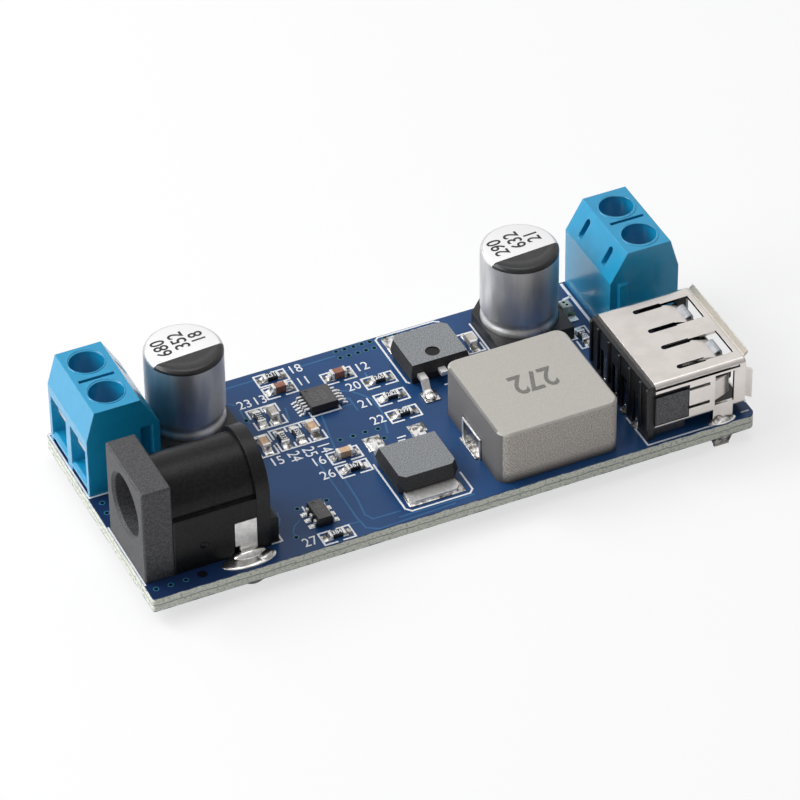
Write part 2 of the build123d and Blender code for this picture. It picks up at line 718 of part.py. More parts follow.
with BuildPart() as usb_shell:
    inner_width = usb_width - 2 * usb_wall
    inner_height = usb_height - 2 * usb_wall
    mid_height = usb_raise + usb_height / 2
    usb_top = usb_raise + usb_height
    finger_drop = tongue_top_gap - finger_clearance
    with BuildSketch(at(usb_seat, Plane.YZ)):
        with Locations((0, mid_height)):
            RectangleRounded(usb_width, usb_height, usb_corner_radius)
            RectangleRounded(inner_width, inner_height, usb_corner_radius - usb_wall,
                             mode=Mode.SUBTRACT)
    extrude(amount=usb_length)
    # The open seam where the top plate is folded over the front side wall
    with BuildSketch(at(usb_seat, Plane.XZ.offset(usb_width / 2 - usb_corner_radius))):
        with Locations((0, usb_top - usb_corner_radius)):
            Rectangle(usb_length - usb_seam_margin, usb_seam_height,
                      align=(Align.MIN, Align.CENTER))
    extrude(amount=usb_corner_radius, mode=Mode.SUBTRACT)
    # The bottom plate stops short of the insulator's foot
    with BuildSketch(at(usb_seat, Plane.XY.offset(usb_raise))):
        Rectangle(side_notch_length, inner_width - 2 * usb_corner_radius,
                  align=(Align.MIN, Align.CENTER))
    extrude(amount=usb_wall, mode=Mode.SUBTRACT)
    # Two spring fingers in the top plate, a holding tab and a finger in each side wall
    for offset in (-finger_spread / 2, finger_spread / 2):
        plate = at(on_seat(usb_seat, y=offset), Plane.XY.offset(usb_top - usb_wall))
        extrude(finger_outline(plate, finger_root, finger_bend, finger_window_end, finger_width),
                amount=usb_wall, mode=Mode.SUBTRACT)
    for wall in (-usb_width / 2, usb_width / 2 - usb_wall):
        with BuildSketch(at(usb_seat, Plane.XZ.offset(-wall - usb_wall))):
            with Locations(((side_window_start + side_window_end) / 2, mid_height)):
                Rectangle(side_window_end - side_window_start, side_window_height)
            with Locations((0, usb_raise + usb_corner_radius)):
                Rectangle(side_notch_length,
                          usb_height - usb_corner_radius - side_notch_top_gap - usb_wall,
                          align=(Align.MIN, Align.MIN))
            for side in (-1, 1):
                with Locations((side_notch_length + side_tab_length / 2,
                                mid_height + side * (side_tab_width + finger_slot) / 2)):
                    Rectangle(side_tab_length + finger_slot, finger_slot)
        extrude(amount=usb_wall, mode=Mode.SUBTRACT)
    # Bent tips of the fingers
    for offset in (-finger_spread / 2, finger_spread / 2):
        with BuildSketch(at(on_seat(usb_seat, y=offset), Plane.XZ.offset(-finger_width / 2))):
            with BuildLine():
                Polyline((finger_bend - finger_overlap, usb_top), (finger_bend, usb_top),
                         (finger_window_end - finger_tip_gap, usb_top - finger_drop),
                         (finger_window_end - finger_tip_gap, usb_top - finger_drop - usb_wall),
                         (finger_bend, usb_top - usb_wall),
                         (finger_bend - finger_overlap, usb_top - usb_wall), close=True)
            make_face()
        extrude(amount=finger_width)
    for side in (-1, 1):
        outer = side * usb_width / 2
        with BuildSketch(at(usb_seat, Plane.XY.offset(mid_height - side_finger_width / 2))):
            with BuildLine():
                tip = side_window_end - side_finger_tip_gap
                Polyline((side_window_start - finger_overlap, outer), (side_window_start, outer),
                         (tip, outer - side * side_finger_drop),
                         (tip, outer - side * (side_finger_drop + usb_wall)),
                         (side_window_start, outer - side * usb_wall),
                         (side_window_start - finger_overlap, outer - side * usb_wall), close=True)
            make_face()
        extrude(amount=side_finger_width)
    # Lips flared out round the mouth
    for direction, level in ((1, usb_top), (-1, usb_raise)):
        with BuildSketch(at(usb_seat, Plane.XZ.offset(-usb_lip_width / 2))):
            with BuildLine():
                Polyline((usb_length, level), (usb_length + usb_lip_reach,
                                               level + direction * usb_lip_reach),
                         (usb_length + usb_lip_reach, level + direction * (usb_lip_reach - usb_wall)),
                         (usb_length, level - direction * usb_wall), close=True)
            make_face()
        extrude(amount=usb_lip_width)
        outer = direction * usb_width / 2
        with BuildSketch(at(usb_seat, Plane.XY.offset(mid_height - usb_side_lip_height / 2))):
            with BuildLine():
                Polyline((usb_length, outer), (usb_length + usb_lip_reach,
                                               outer + direction * usb_lip_reach),
                         (usb_length + usb_lip_reach, outer + direction * (usb_lip_reach - usb_wall)),
                         (usb_length, outer - direction * usb_wall), close=True)
            make_face()
        extrude(amount=usb_side_lip_height)
    # Legs, folded down from the side walls and narrowed where they enter the board
    for wall in (-usb_width / 2, usb_width / 2 - usb_wall):
        with BuildSketch(at(usb_seat, Plane.XZ.offset(-wall - usb_wall))):
            with BuildLine():
                wide = usb_leg_width / 2
                narrow = usb_leg_foot_width / 2
                top = usb_raise + usb_corner_radius
                Polyline((usb_leg_x - wide, top), (usb_leg_x - wide, usb_leg_shoulder),
                         (usb_leg_x - narrow, 0),
                         (usb_leg_x - narrow, -board_top), (usb_leg_x + narrow, -board_top),
                         (usb_leg_x + narrow, 0), (usb_leg_x + wide, usb_leg_shoulder),
                         (usb_leg_x + wide, top), close=True)
            make_face()
        extrude(amount=usb_wall)
finish(usb_shell, "usb_shell")

with BuildPart() as usb_insulator:
    tongue_top = usb_top - usb_wall - tongue_top_gap
    tongue_bottom = tongue_top - tongue_thickness
    with BuildSketch(at(usb_seat, Plane.YZ)):
        Rectangle(inner_width - 2 * usb_corner_radius, usb_top - usb_wall,
                  align=(Align.CENTER, Align.MIN))
        with Locations((0, mid_height)):
            Rectangle(inner_width, usb_height - 2 * usb_corner_radius)
    extrude(amount=side_notch_length)
    for wall in (-usb_width / 2, usb_width / 2 - usb_wall):
        with BuildSketch(at(usb_seat, Plane.XZ.offset(-wall - usb_wall))):
            with Locations((0, usb_raise + usb_corner_radius + tab_clearance)):
                Rectangle(side_notch_length - tab_clearance,
                          usb_height - 2 * usb_corner_radius - side_notch_top_gap - usb_wall,
                          align=(Align.MIN, Align.MIN))
        extrude(amount=usb_wall)
    with BuildSketch(at(usb_seat, Plane.YZ.offset(-usb_rib_depth))):
        Rectangle(inner_width, usb_top - usb_wall, align=(Align.CENTER, Align.MIN))
    extrude(amount=usb_rib_depth)
    for offset in usb_pin_offsets:
        with BuildSketch(at(on_seat(usb_seat, y=offset), Plane.YZ.offset(-usb_rib_depth))):
            Rectangle(usb_contact_width + 2 * tab_clearance, tongue_bottom,
                      align=(Align.CENTER, Align.MIN))
        extrude(amount=usb_rib_depth, mode=Mode.SUBTRACT)
    with BuildSketch(at(usb_seat, Plane.XZ.offset(-tongue_width / 2))):
        with Locations((side_notch_length, tongue_bottom)):
            Rectangle(tongue_length, tongue_thickness, align=(Align.MIN, Align.MIN))
    extrude(amount=tongue_width)
    nose = usb_insulator.edges().filter_by(Axis.Y).sort_by(Axis.X)[-2:]
    chamfer(nose, tongue_chamfer)
    # Channels that the contact strips lie in, under the tongue and through the block
    for offset in usb_pin_offsets:
        with BuildSketch(at(on_seat(usb_seat, y=offset), Plane.YZ.offset(-usb_rib_depth))):
            with Locations((0, tongue_bottom)):
                Rectangle(usb_contact_width + 2 * tab_clearance, usb_pin_thickness + tab_clearance)
        strip_end = side_notch_length + tongue_length - strip_end_gap
        extrude(amount=usb_rib_depth + strip_end + strip_end_clearance, mode=Mode.SUBTRACT)
finish(usb_insulator, "usb_insulator")

with BuildPart() as usb_contacts:
    for offset in usb_pin_offsets:
        leg = on_seat(usb_seat, y=offset)
        with BuildSketch(at(leg, Plane.XY.offset(tongue_bottom - usb_pin_thickness / 2))):
            with Locations((usb_pin_x - usb_pin_thickness / 2, 0)):
                Rectangle(strip_end - usb_pin_x, usb_contact_width,
                          align=(Align.MIN, Align.CENTER))
        extrude(amount=usb_pin_thickness)
        with BuildSketch(at(leg, Plane.YZ.offset(usb_pin_x - usb_pin_thickness / 2))):
            with Locations((0, tongue_bottom - usb_pin_thickness / 2)):
                Rectangle(usb_contact_width, tongue_bottom - usb_contact_shoulder,
                          align=(Align.CENTER, Align.MAX))
                Rectangle(usb_pin_width, tongue_bottom + board_top - usb_pin_thickness / 2,
                          align=(Align.CENTER, Align.MAX))
        extrude(amount=usb_pin_thickness)
finish(usb_contacts, "usb_contacts")


def can_capacitor(place, label):
    """Can with a crimped bead, a moulded base with two cut corners and two flat leads."""
    with BuildPart() as can:
        with BuildSketch(at(place, Plane.XZ)):
            with BuildLine():
                Polyline((0, cap_base_height), (can_radius, cap_base_height),
                         (can_radius, bead_bottom), (can_radius - bead_depth, bead_height),
                         (can_radius, bead_top), (can_radius, can_height - can_top_chamfer),
                         (can_radius - can_top_chamfer, can_height), (0, can_height), close=True)
            make_face()
        revolve(axis=Axis(place.position, (0, 0, 1)))
    finish(can, f"{label}_can")
    with BuildPart() as base:
        with BuildSketch(at(place, Plane.XY)) as footprint:
            Rectangle(cap_base_size, cap_base_size)
            chamfer(footprint.vertices().group_by(Axis.Y)[-1], cap_base_chamfer)
        extrude(amount=cap_base_height)
        with BuildSketch(at(place, Plane.XY.offset(cap_base_height))) as collar:
            Rectangle(cap_base_size, cap_base_size)
            chamfer(collar.vertices().group_by(Axis.Y)[-1], cap_base_chamfer)
            Circle(can_radius + cap_collar_clearance, mode=Mode.SUBTRACT)
        extrude(amount=cap_base_collar)
        for side in (-1, 1):
            with BuildSketch(at(place, Plane.XY)):
                with Locations((0, side * cap_base_size / 2)):
                    Rectangle(cap_lead_width + 2 * tab_clearance, 2 * (cap_lead_inset + tab_clearance))
            extrude(amount=cap_lead_thickness + tab_clearance / 2, mode=Mode.SUBTRACT)
    finish(base, f"{label}_base")
    with BuildPart() as leads:
        for side in (-1, 1):
            inner = cap_base_size / 2 - cap_lead_inset
            length = cap_lead_inset + cap_lead_reach
            with BuildSketch(at(place, Plane.XY)):
                with Locations((0, side * (inner + length / 2))):
                    Rectangle(cap_lead_width, length)
            extrude(amount=cap_lead_thickness)
    finish(leads, f"{label}_leads")


can_capacitor(seat(input_cap_x, input_cap_y), "input_capacitor")
can_capacitor(seat(output_cap_x, output_cap_y), "output_capacitor")

inductor_seat = seat(inductor_x, inductor_y)
with BuildPart() as inductor_core:
    with BuildSketch(at(inductor_seat, Plane.XY)):
        RectangleRounded(inductor_size, inductor_size, inductor_corner_radius)
    extrude(amount=inductor_height)
    chamfer(inductor_core.faces().sort_by(Axis.Z)[-1].edges(), inductor_top_chamfer)
    for side in (-1, 1):
        with BuildSketch(at(inductor_seat, Plane.XZ.offset(-clip_width / 2 - tab_clearance))):
            with Locations((side * inductor_size / 2, 0)):
                Rectangle(2 * (clip_thickness + tab_clearance), clip_height + tab_clearance,
                          align=(Align.CENTER, Align.MIN))
                Rectangle(2 * (clip_foot + tab_clearance), clip_thickness + tab_clearance,
                          align=(Align.CENTER, Align.MIN))
        extrude(amount=clip_width + 2 * tab_clearance, mode=Mode.SUBTRACT)
finish(inductor_core, "inductor_core")

with BuildPart() as inductor_terminals:
    for side in (-1, 1):
        edge = side * inductor_size / 2
        with BuildSketch(at(inductor_seat, Plane.XZ.offset(-clip_width / 2))):
            with BuildLine():
                Polyline((edge, 0), (edge, clip_height), (edge - side * clip_thickness, clip_height),
                         (edge - side * clip_thickness, clip_thickness),
                         (edge - side * clip_foot, clip_thickness), (edge - side * clip_foot, 0),
                         close=True)
            make_face()
        extrude(amount=clip_width)
finish(inductor_terminals, "inductor_terminals")


def tab_outline(width, length, corner):
    """Rectangle with the two corners at the tab's end cut off."""
    with BuildSketch(Plane.XY) as outline:
        Rectangle(width, length)
        chamfer(outline.vertices().group_by(Axis.Y)[0], corner)
    return outline.sketch


def power_transistor(place, label, dimpled):
    """Moulded body with drafted sides on a metal tab, two bent leads and a cut-off middle lead."""
    half = power_body_length / 2
    with BuildPart() as body:
        for level, direction in ((power_parting_height, -1), (power_parting_height, 1)):
            reach = power_body_height - level if direction > 0 else level - chip_standoff / 2
            with BuildSketch(at(place, Plane.XY.offset(level))):
                add(tab_outline(power_body_width, power_body_length, power_corner_chamfer))
            extrude(amount=direction * reach, taper=degrees(atan2(power_draft, reach)))
        if dimpled:
            with BuildSketch(at(place, Plane.XY.offset(power_body_height))):
                with Locations((dimple_x, dimple_y)):
                    Circle(dimple_radius)
            extrude(amount=-dimple_depth, mode=Mode.SUBTRACT)
        # Room for the metal tab and the roots of the leads
        with BuildSketch(at(place, Plane.XY)):
            with Locations((0, -half)):
                Rectangle(power_tab_width + 2 * solder_gap, power_body_length,
                          align=(Align.CENTER, Align.CENTER))
        extrude(amount=power_tab_thickness + solder_gap, mode=Mode.SUBTRACT)
    finish(body, f"{label}_body")
    with BuildPart() as leads:
        with BuildSketch(at(place, Plane.XY)):
            with Locations((0, -(half + power_tab_reach) / 2)):
                add(tab_outline(power_tab_width, half + power_tab_reach, power_tab_chamfer))
        extrude(amount=power_tab_thickness)
        with BuildSketch(at(place, Plane.XZ.offset(-half))):
            with Locations((0, power_lead_level)):
                Rectangle(power_lead_width, power_lead_thickness, align=(Align.CENTER, Align.MIN))
        extrude(amount=-power_stub_reach)
        for offset in (-power_lead_pitch / 2, power_lead_pitch / 2):
            bend = half + power_lead_reach - power_lead_foot
            level = power_lead_level + power_lead_thickness / 2
            foot = power_lead_thickness / 2
            with BuildSketch(at(place, Plane.YZ.offset(offset - power_lead_width / 2))):
                with BuildLine():
                    Polyline((half, level), (bend - power_lead_bend_run, level), (bend, foot),
                             (half + power_lead_reach, foot))
                trace(line_width=power_lead_thickness)
            extrude(amount=power_lead_width)
    finish(leads, f"{label}_leads")


power_transistor(seat(low_transistor_x, low_transistor_y), "low_side_transistor", False)
power_transistor(seat(high_transistor_x, high_transistor_y, 180), "high_side_transistor", True)


def leaded_chip(place, label, row, body, height, span, pitch, lead_width, count):
    """Small moulded chip with a row of bent leads on each side along its own Y."""
    with BuildPart() as package:
        middle = chip_standoff + (height - chip_standoff) / 2
        rise = height - middle
        for direction in (-1, 1):
            with BuildSketch(at(place, Plane.XY.offset(middle))):
                Rectangle(body, row)
            extrude(amount=direction * rise, taper=chip_draft_angle)
        with BuildSketch(at(place, Plane.XY.offset(height))):
            with Locations((-body / 2 + mark_inset, row / 2 - mark_inset)):
                Circle(mark_radius)
        extrude(amount=-mark_depth, mode=Mode.SUBTRACT)
    finish(package, f"{label}_body")
    with BuildPart() as leads:
        level = chip_standoff + (height - chip_standoff) / 2
        foot = small_lead_thickness / 2
        for side in (-1, 1):
            for k in range(count):
                along = (k - (count - 1) / 2) * pitch
                with BuildSketch(at(on_seat(place, y=along), Plane.XZ.offset(-lead_width / 2))):
                    with BuildLine():
                        knee = side * (span / 2 - small_lead_foot)
                        Polyline((side * body / 2, level),
                                 (knee - side * small_lead_slope, level), (knee, foot),
                                 (side * span / 2, foot))
                    trace(line_width=small_lead_thickness)
                extrude(amount=lead_width)
    finish(leads, f"{label}_leads")


leaded_chip(seat(controller_x, controller_y), "controller", controller_body, controller_body,
            controller_height, controller_span, controller_pitch, controller_lead_width,
            controller_lead_count)
leaded_chip(seat(charger_x, charger_y), "charging_chip", charger_row_length, charger_body,
            charger_height, charger_span, charger_pitch, charger_lead_width,
            charger_lead_count)


def chip_part(place, label, height):
    """Ceramic block along its own X with a metal cap at each end."""
    with BuildPart() as chip:
        middle = chip_length - 2 * chip_end_length
        with BuildSketch(at(place, Plane.XY.offset(chip_end_skin))):
            Rectangle(middle, chip_width - 2 * chip_end_skin)
        extrude(amount=height - 2 * chip_end_skin)
        for side in (-1, 1):
            with BuildSketch(at(place, Plane.XY)):
                with Locations((side * (chip_length - chip_end_length) / 2, 0)):
                    Rectangle(chip_end_length, chip_width)
            extrude(amount=height)
    finish(chip, label)


back_resistor_y = board_width - back_resistor_inset
back_capacitor_y = board_width - back_capacitor_inset
filter_chip_y = controller_y + filter_chip_rise
cross_row_y = board_width - cross_row_inset
cross_row_x = filter_chip_x + cross_row_offset
column_y = controller_y + column_chip_rise
resistor_places = (
    (controller_x - back_chip_offset, back_resistor_y, 0),
    (column_chip_x, column_y, 0), (column_chip_x, column_y - column_chip_pitch, 0),
    (column_chip_x, column_y - 2 * column_chip_pitch, 0),
    (filter_chip_x, filter_chip_y, 90), (cross_row_x, cross_row_y, 90),
    (cross_row_x + cross_row_pitch, cross_row_y, 90), (front_chip_x, front_resistor_y, 0),
    (charger_x + charger_chip_offset, charger_chip_y, 0),
    (lamp_x - lamp_resistor_offset, output_terminal_y - lamp_resistor_drop, 90))
for number, place in enumerate(resistor_places, start=1):
    chip_part(seat(*place), f"resistor_{number}", resistor_height)
capacitor_places = (
    (controller_x - back_chip_offset, back_capacitor_y, 0),
    (controller_x + driver_chip_offset, back_capacitor_y - driver_chip_drop, 0),
    (filter_chip_x + filter_chip_pitch, filter_chip_y, 90),
    (cross_row_x + 2 * cross_row_pitch, cross_row_y, 90),
    (filter_chip_x - cross_chip_offset, cross_row_y - cross_chip_drop, 90),
    (front_chip_x, front_capacitor_y, 0),
    (snubber_x, high_transistor_y + snubber_rise, 90))
for number, place in enumerate(capacitor_places, start=1):
    chip_part(seat(*place), f"ceramic_capacitor_{number}", capacitor_chip_height)

lamp_seat = seat(lamp_x, lamp_y, 90)
with BuildPart() as lamp_base:
    with BuildSketch(at(lamp_seat, Plane.XY)):
        Rectangle(lamp_length, lamp_width)
        for side in (-1, 1):
            with Locations((side * lamp_length / 2, 0)):
                Circle(lamp_notch_radius, mode=Mode.SUBTRACT)
    extrude(amount=lamp_base_height)
finish(lamp_base, "lamp_base")

with BuildPart() as lamp_lens:
    with BuildSketch(at(lamp_seat, Plane.XY.offset(lamp_base_height))):
        Rectangle(lamp_lens_length, lamp_width)
    extrude(amount=lamp_lens_height, taper=lens_draft_angle)
    fillet(lamp_lens.edges().group_by(Axis.Z)[-1], lens_edge_radius)
finish(lamp_lens, "lamp_lens")


def solder_outline(length, width, spread):
    """Outline of the solder round a pin, its corners cut off."""
    with BuildSketch(Plane.XY) as outline:
        Rectangle(length + spread, width + spread)
        chamfer(outline.vertices(), solder_corner * (min(length, width) + spread))
    return outline.sketch


# Solder round each pin under the board, drawn up towards the pin's tip
with BuildPart() as solder_joints:
    for place, length, width in pin_places():
        for spread, level in ((2 * solder_reach, 0), (solder_tip_spread, solder_height)):
            with BuildSketch(at(place, Plane.XY.offset(-board_thickness - level))):
                add(solder_outline(length, width, spread))
        loft(ruled=True)
        with BuildSketch(at(place, Plane.XY.offset(-board_thickness))):
            Rectangle(length + 2 * solder_gap, width + 2 * solder_gap)
        extrude(amount=-solder_height, mode=Mode.SUBTRACT)
finish(solder_joints, "solder_joints")
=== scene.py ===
# %% [markdown]
# # A step-down converter module
# The real thing is a small blue circuit board with a screw terminal and a power jack at its input
# end, and a second terminal and a USB socket at its output end. Its solids come from the CAD
# model, and this script gives them their finishes and adds what is too thin for solids:
# printed lines, solder, copper under the lacquer and numbers. Everything is in metres, in the
# model's own frame, so nothing has to be fitted. The board's box is taken first, because places
# are measured from it. The finished object must not grow beyond it.

# %% Load the frame
import math

import bmesh
import bpy
from mathutils import Matrix, Quaternion, Vector


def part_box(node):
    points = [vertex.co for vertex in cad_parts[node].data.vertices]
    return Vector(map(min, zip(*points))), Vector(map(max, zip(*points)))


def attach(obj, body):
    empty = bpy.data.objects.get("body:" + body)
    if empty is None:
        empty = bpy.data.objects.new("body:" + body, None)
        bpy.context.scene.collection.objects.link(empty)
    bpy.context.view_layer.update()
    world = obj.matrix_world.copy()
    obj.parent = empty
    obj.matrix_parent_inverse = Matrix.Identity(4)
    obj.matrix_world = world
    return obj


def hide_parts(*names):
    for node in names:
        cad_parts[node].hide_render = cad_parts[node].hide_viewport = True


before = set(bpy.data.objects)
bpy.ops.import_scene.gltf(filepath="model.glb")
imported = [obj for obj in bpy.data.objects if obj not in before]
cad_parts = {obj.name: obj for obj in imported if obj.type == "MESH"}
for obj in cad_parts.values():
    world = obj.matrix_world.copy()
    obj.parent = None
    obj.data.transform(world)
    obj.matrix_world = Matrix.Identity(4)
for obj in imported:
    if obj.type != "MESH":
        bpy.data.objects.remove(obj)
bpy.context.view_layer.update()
MM = 0.001
board_low, board_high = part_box("board")

# %% [markdown]
# ## The camera
# A product photograph is taken from far away with a long lens, which keeps parallel edges nearly
# parallel. A long focal length and a distance of half a metre do the same here. The camera's place
# is given as a compass turn and a height angle round a point near the middle of the board, and a
# small roll stands for a camera that was not held quite level.

# %% Camera
LOOK_AT = Vector((-0.07, 0.17, 6.1)) * MM
CAMERA_DISTANCE = 499.7 * MM
CAMERA_TURN = math.radians(24.297)
CAMERA_DROP = math.radians(39.153)
CAMERA_ROLL = math.radians(-0.772)
LENS_LENGTH = 227.43
SENSOR_WIDTH = 36
CLIP_NEAR, CLIP_FAR = 0.01, 20

camera_data = bpy.data.cameras.new("photo_camera")
camera_data.lens = LENS_LENGTH
camera_data.sensor_width = SENSOR_WIDTH
camera_data.clip_start = CLIP_NEAR
camera_data.clip_end = CLIP_FAR
camera = bpy.data.objects.new("photo_camera", camera_data)
bpy.context.scene.collection.objects.link(camera)
line_of_sight = Vector((
    math.sin(CAMERA_TURN) * math.cos(CAMERA_DROP),
    math.cos(CAMERA_TURN) * math.cos(CAMERA_DROP),
    -math.sin(CAMERA_DROP),
))
camera.location = LOOK_AT - line_of_sight * CAMERA_DISTANCE
camera.rotation_mode = "QUATERNION"
camera.rotation_quaternion = (
    line_of_sight.to_track_quat("-Z", "Y") @ Quaternion((0, 0, 1), CAMERA_ROLL)
)
bpy.context.scene.camera = camera
bpy.context.scene.view_settings.view_transform = "Standard"
print("camera at", [round(value, 3) for value in camera.location])

# %% [markdown]
# ## Small helpers for shader nodes
# A finish is a little network of nodes. Two helpers keep each network short: one makes a node and
# fills its inputs, either with a value or with another node's output, and one starts a material
# with its main shader. Colours are easier to judge as the 0 to 255 values of a screen, so a third
# helper turns those into the linear values that a shader works with. The others lead an output
# into the main shader, do a step of arithmetic, and move a value to another range.


# %% Node helpers
def shade(red, green, blue):
    """A screen colour, 0 to 255, as the linear colour that shaders use."""
    return tuple(((value / 255 + 0.055) / 1.055) ** 2.4 for value in (red, green, blue))


def add_node(material, kind, inputs=None, **settings):
    """A node whose inputs are given by name, each as a value or as another node's output."""
    node = material.node_tree.nodes.new(kind)
    for name, value in settings.items():
        setattr(node, name, value)
    for name, value in (inputs or {}).items():
        if isinstance(value, bpy.types.NodeSocket):
            material.node_tree.links.new(value, node.inputs[name])
        else:
            node.inputs[name].default_value = value
    return node


def new_finish(name, colour, roughness, metallic=0.0, **sockets):
    """A material with its main shader set."""
    material = bpy.data.materials.new(name)
    material.use_nodes = True
    shader = material.node_tree.nodes["Principled BSDF"]
    shader.inputs["Base Color"].default_value = (*colour, 1)
    shader.inputs["Roughness"].default_value = roughness
    shader.inputs["Metallic"].default_value = metallic
    for socket, value in sockets.items():
        shader.inputs[socket.replace("_", " ")].default_value = value
    return material


def feed(material, socket, output):
    """Lead a node's output into the main shader."""
    shader = material.node_tree.nodes["Principled BSDF"]
    material.node_tree.links.new(output, shader.inputs[socket])


def sums(material, operation, *values):
    """One step of arithmetic on numbers or outputs."""
    return add_node(material, "ShaderNodeMath", dict(enumerate(values)),
                    operation=operation).outputs[0]


def map_range(material, value, low=0, high=1, to_low=0, to_high=1):
    """A value moved from one range of numbers to another, and held at its ends."""
    return add_node(material, "ShaderNodeMapRange", {
        "Value": value, "From Min": low, "From Max": high, "To Min": to_low, "To Max": to_high,
    }).outputs[0]


print("the middle grey of a screen is", round(shade(128, 128, 128)[0], 3), "to a shader")

# %% [markdown]
# ## Patterns on a surface
# A pattern is worked out for each point of the surface, from its place in metres. Noise and a colour
# ramp together give a mottled colour that wanders between two shades. A blend mixes two colours by
# a share that is a number or comes from another node.

# %% Pattern helpers
# A Mix node has the sockets of every kind of value, so the ones for colours go by their numbers.
MIX_SHARE, MIX_FIRST, MIX_SECOND, MIX_RESULT = 0, 6, 7, 2


def object_place(material, stretch=(1, 1, 1)):
    """The surface point in metres, stretched for a pattern with a direction."""
    place = add_node(material, "ShaderNodeTexCoord").outputs["Object"]
    return add_node(material, "ShaderNodeMapping", {"Vector": place, "Scale": stretch}).outputs[0]


def noise(material, scale, detail=3, stretch=(1, 1, 1)):
    """A noise pattern, its scale in features per metre."""
    return add_node(material, "ShaderNodeTexNoise", {
        "Vector": object_place(material, stretch), "Scale": scale, "Detail": detail,
    }).outputs["Fac"]


def ramp(material, factor, *stops):
    """A colour ramp with the given stops, each a place from 0 to 1 and a colour."""
    node = add_node(material, "ShaderNodeValToRGB", {"Fac": factor})
    while len(node.color_ramp.elements) < len(stops):
        node.color_ramp.elements.new(0.5)
    for element, (position, colour) in zip(node.color_ramp.elements, stops):
        element.position = position
        element.color = (*colour, 1)
    return node.outputs["Color"]


def mottle(material, scale, dark, light, spread=0.14, detail=3, stretch=(1, 1, 1)):
    """A colour that wanders between two shades, the more sharply the smaller its spread is."""
    return ramp(material, noise(material, scale, detail, stretch),
                (0.5 - spread, dark), (0.5 + spread, light))


def blend(material, share, first, second):
    """Two colours mixed, the share being how much of the second shows."""
    node = add_node(material, "ShaderNodeMix", data_type="RGBA")
    for socket, value in ((MIX_SHARE, share), (MIX_FIRST, first), (MIX_SECOND, second)):
        if isinstance(value, bpy.types.NodeSocket):
            material.node_tree.links.new(value, node.inputs[socket])
        else:
            node.inputs[socket].default_value = value if socket == MIX_SHARE else (*value, 1)
    return node.outputs[MIX_RESULT]


# %% [markdown]
# ## Where a point is, and which way it faces
# Some finishes change from one place to the next, as the board's edge does with its height. These
# helpers tell how high a point lies, how far along the board, or which way its face looks. Each
# gives a number that a blend can use as its share.


# %% Place and direction
def way_between(material, axis, low, high):
    """How far a point is on its way between two places of the frame on an axis, from 0 to 1."""
    place = add_node(material, "ShaderNodeSeparateXYZ", {"Vector": object_place(material)})
    return map_range(material, place.outputs[axis], low, high)


def rise(material, low, high):
    """How far a point is up between two heights over the board's top face, from 0 to 1."""
    return way_between(material, "Z", board_high.z + low * MM, board_high.z + high * MM)


def run(material, low, high):
    """How far a point is along the board between two places, from 0 to 1."""
    return way_between(material, "X", board_low.x + low * MM, board_low.x + high * MM)


def facing(material, axis):
    """One part of the direction that a face looks in, from -1 to 1."""
    return add_node(material, "ShaderNodeSeparateXYZ", {
        "Vector": add_node(material, "ShaderNodeNewGeometry").outputs["Normal"],
    }).outputs[axis]


def looks_up(material, beyond=0.9):
    """1 where a face looks up and 0 elsewhere."""
    return sums(material, "GREATER_THAN", facing(material, "Z"), beyond)


# %% [markdown]
# ## Grain
# Most finishes here are a mottled colour with a fine relief. The relief is a noise too, and a bevel
# node lets sharp edges catch the light as if they were rounded.


# %% Grain
def add_relief(material, scale, depth, edge):
    """A fine grain in the surface, and edges that look rounded by the given radius."""
    edges = add_node(material, "ShaderNodeBevel", {"Radius": edge}, samples=6)
    bump = add_node(material, "ShaderNodeBump", {
        "Height": noise(material, scale), "Distance": depth, "Normal": edges.outputs["Normal"],
    })
    feed(material, "Normal", bump.outputs["Normal"])


def grained(name, dark, light, roughness, scale, relief, edge, metallic=0.0, spread=0.14, **sockets):
    """A finish whose colour wanders between two shades, with a fine relief."""
    material = new_finish(name, dark, roughness, metallic, **sockets)
    feed(material, "Base Color", mottle(material, scale, dark, light, spread, detail=4))
    add_relief(material, scale, relief, edge)
    return material


# %% [markdown]
# ## Floor
# The module lies on a white studio sweep. The floor is a plain pale plane that takes the shadow,
# with a little glow that only the camera sees, so that it runs into the white background without
# extra light on the object.

# %% Floor
FLOOR_HALF_SIZE = 2.0
FLOOR_GLOW = 0.68
floor_mesh = bmesh.new()
bmesh.ops.create_grid(floor_mesh, x_segments=1, y_segments=1, size=FLOOR_HALF_SIZE)
floor_data = bpy.data.meshes.new("floor")
floor_mesh.to_mesh(floor_data)
floor_mesh.free()
floor = bpy.data.objects.new("floor", floor_data)
bpy.context.scene.collection.objects.link(floor)

floor_finish = new_finish("white_sweep", shade(243, 243, 244), 0.85)
seen = add_node(floor_finish, "ShaderNodeLightPath").outputs["Is Camera Ray"]
glow = add_node(floor_finish, "ShaderNodeEmission", {"Color": (1, 1, 1, 1), "Strength": seen})
glow_share = sums(floor_finish, "MULTIPLY", seen, FLOOR_GLOW)
mixed = add_node(floor_finish, "ShaderNodeMixShader", {"Fac": glow_share})
tree = floor_finish.node_tree
tree.links.new(tree.nodes["Principled BSDF"].outputs[0], mixed.inputs[1])
tree.links.new(glow.outputs[0], mixed.inputs[2])
tree.links.new(mixed.outputs[0], tree.nodes["Material Output"].inputs["Surface"])
floor_data.materials.append(floor_finish)
print("floor", 2 * FLOOR_HALF_SIZE, "m wide, its glow", FLOOR_GLOW)

# %% [markdown]
# ## The room
# The room gives a low, even light. It is dimmer in front, which keeps the faces on that side dark,
# and brighter in reflections, so that metal shows a white studio. The camera sees it plain white.

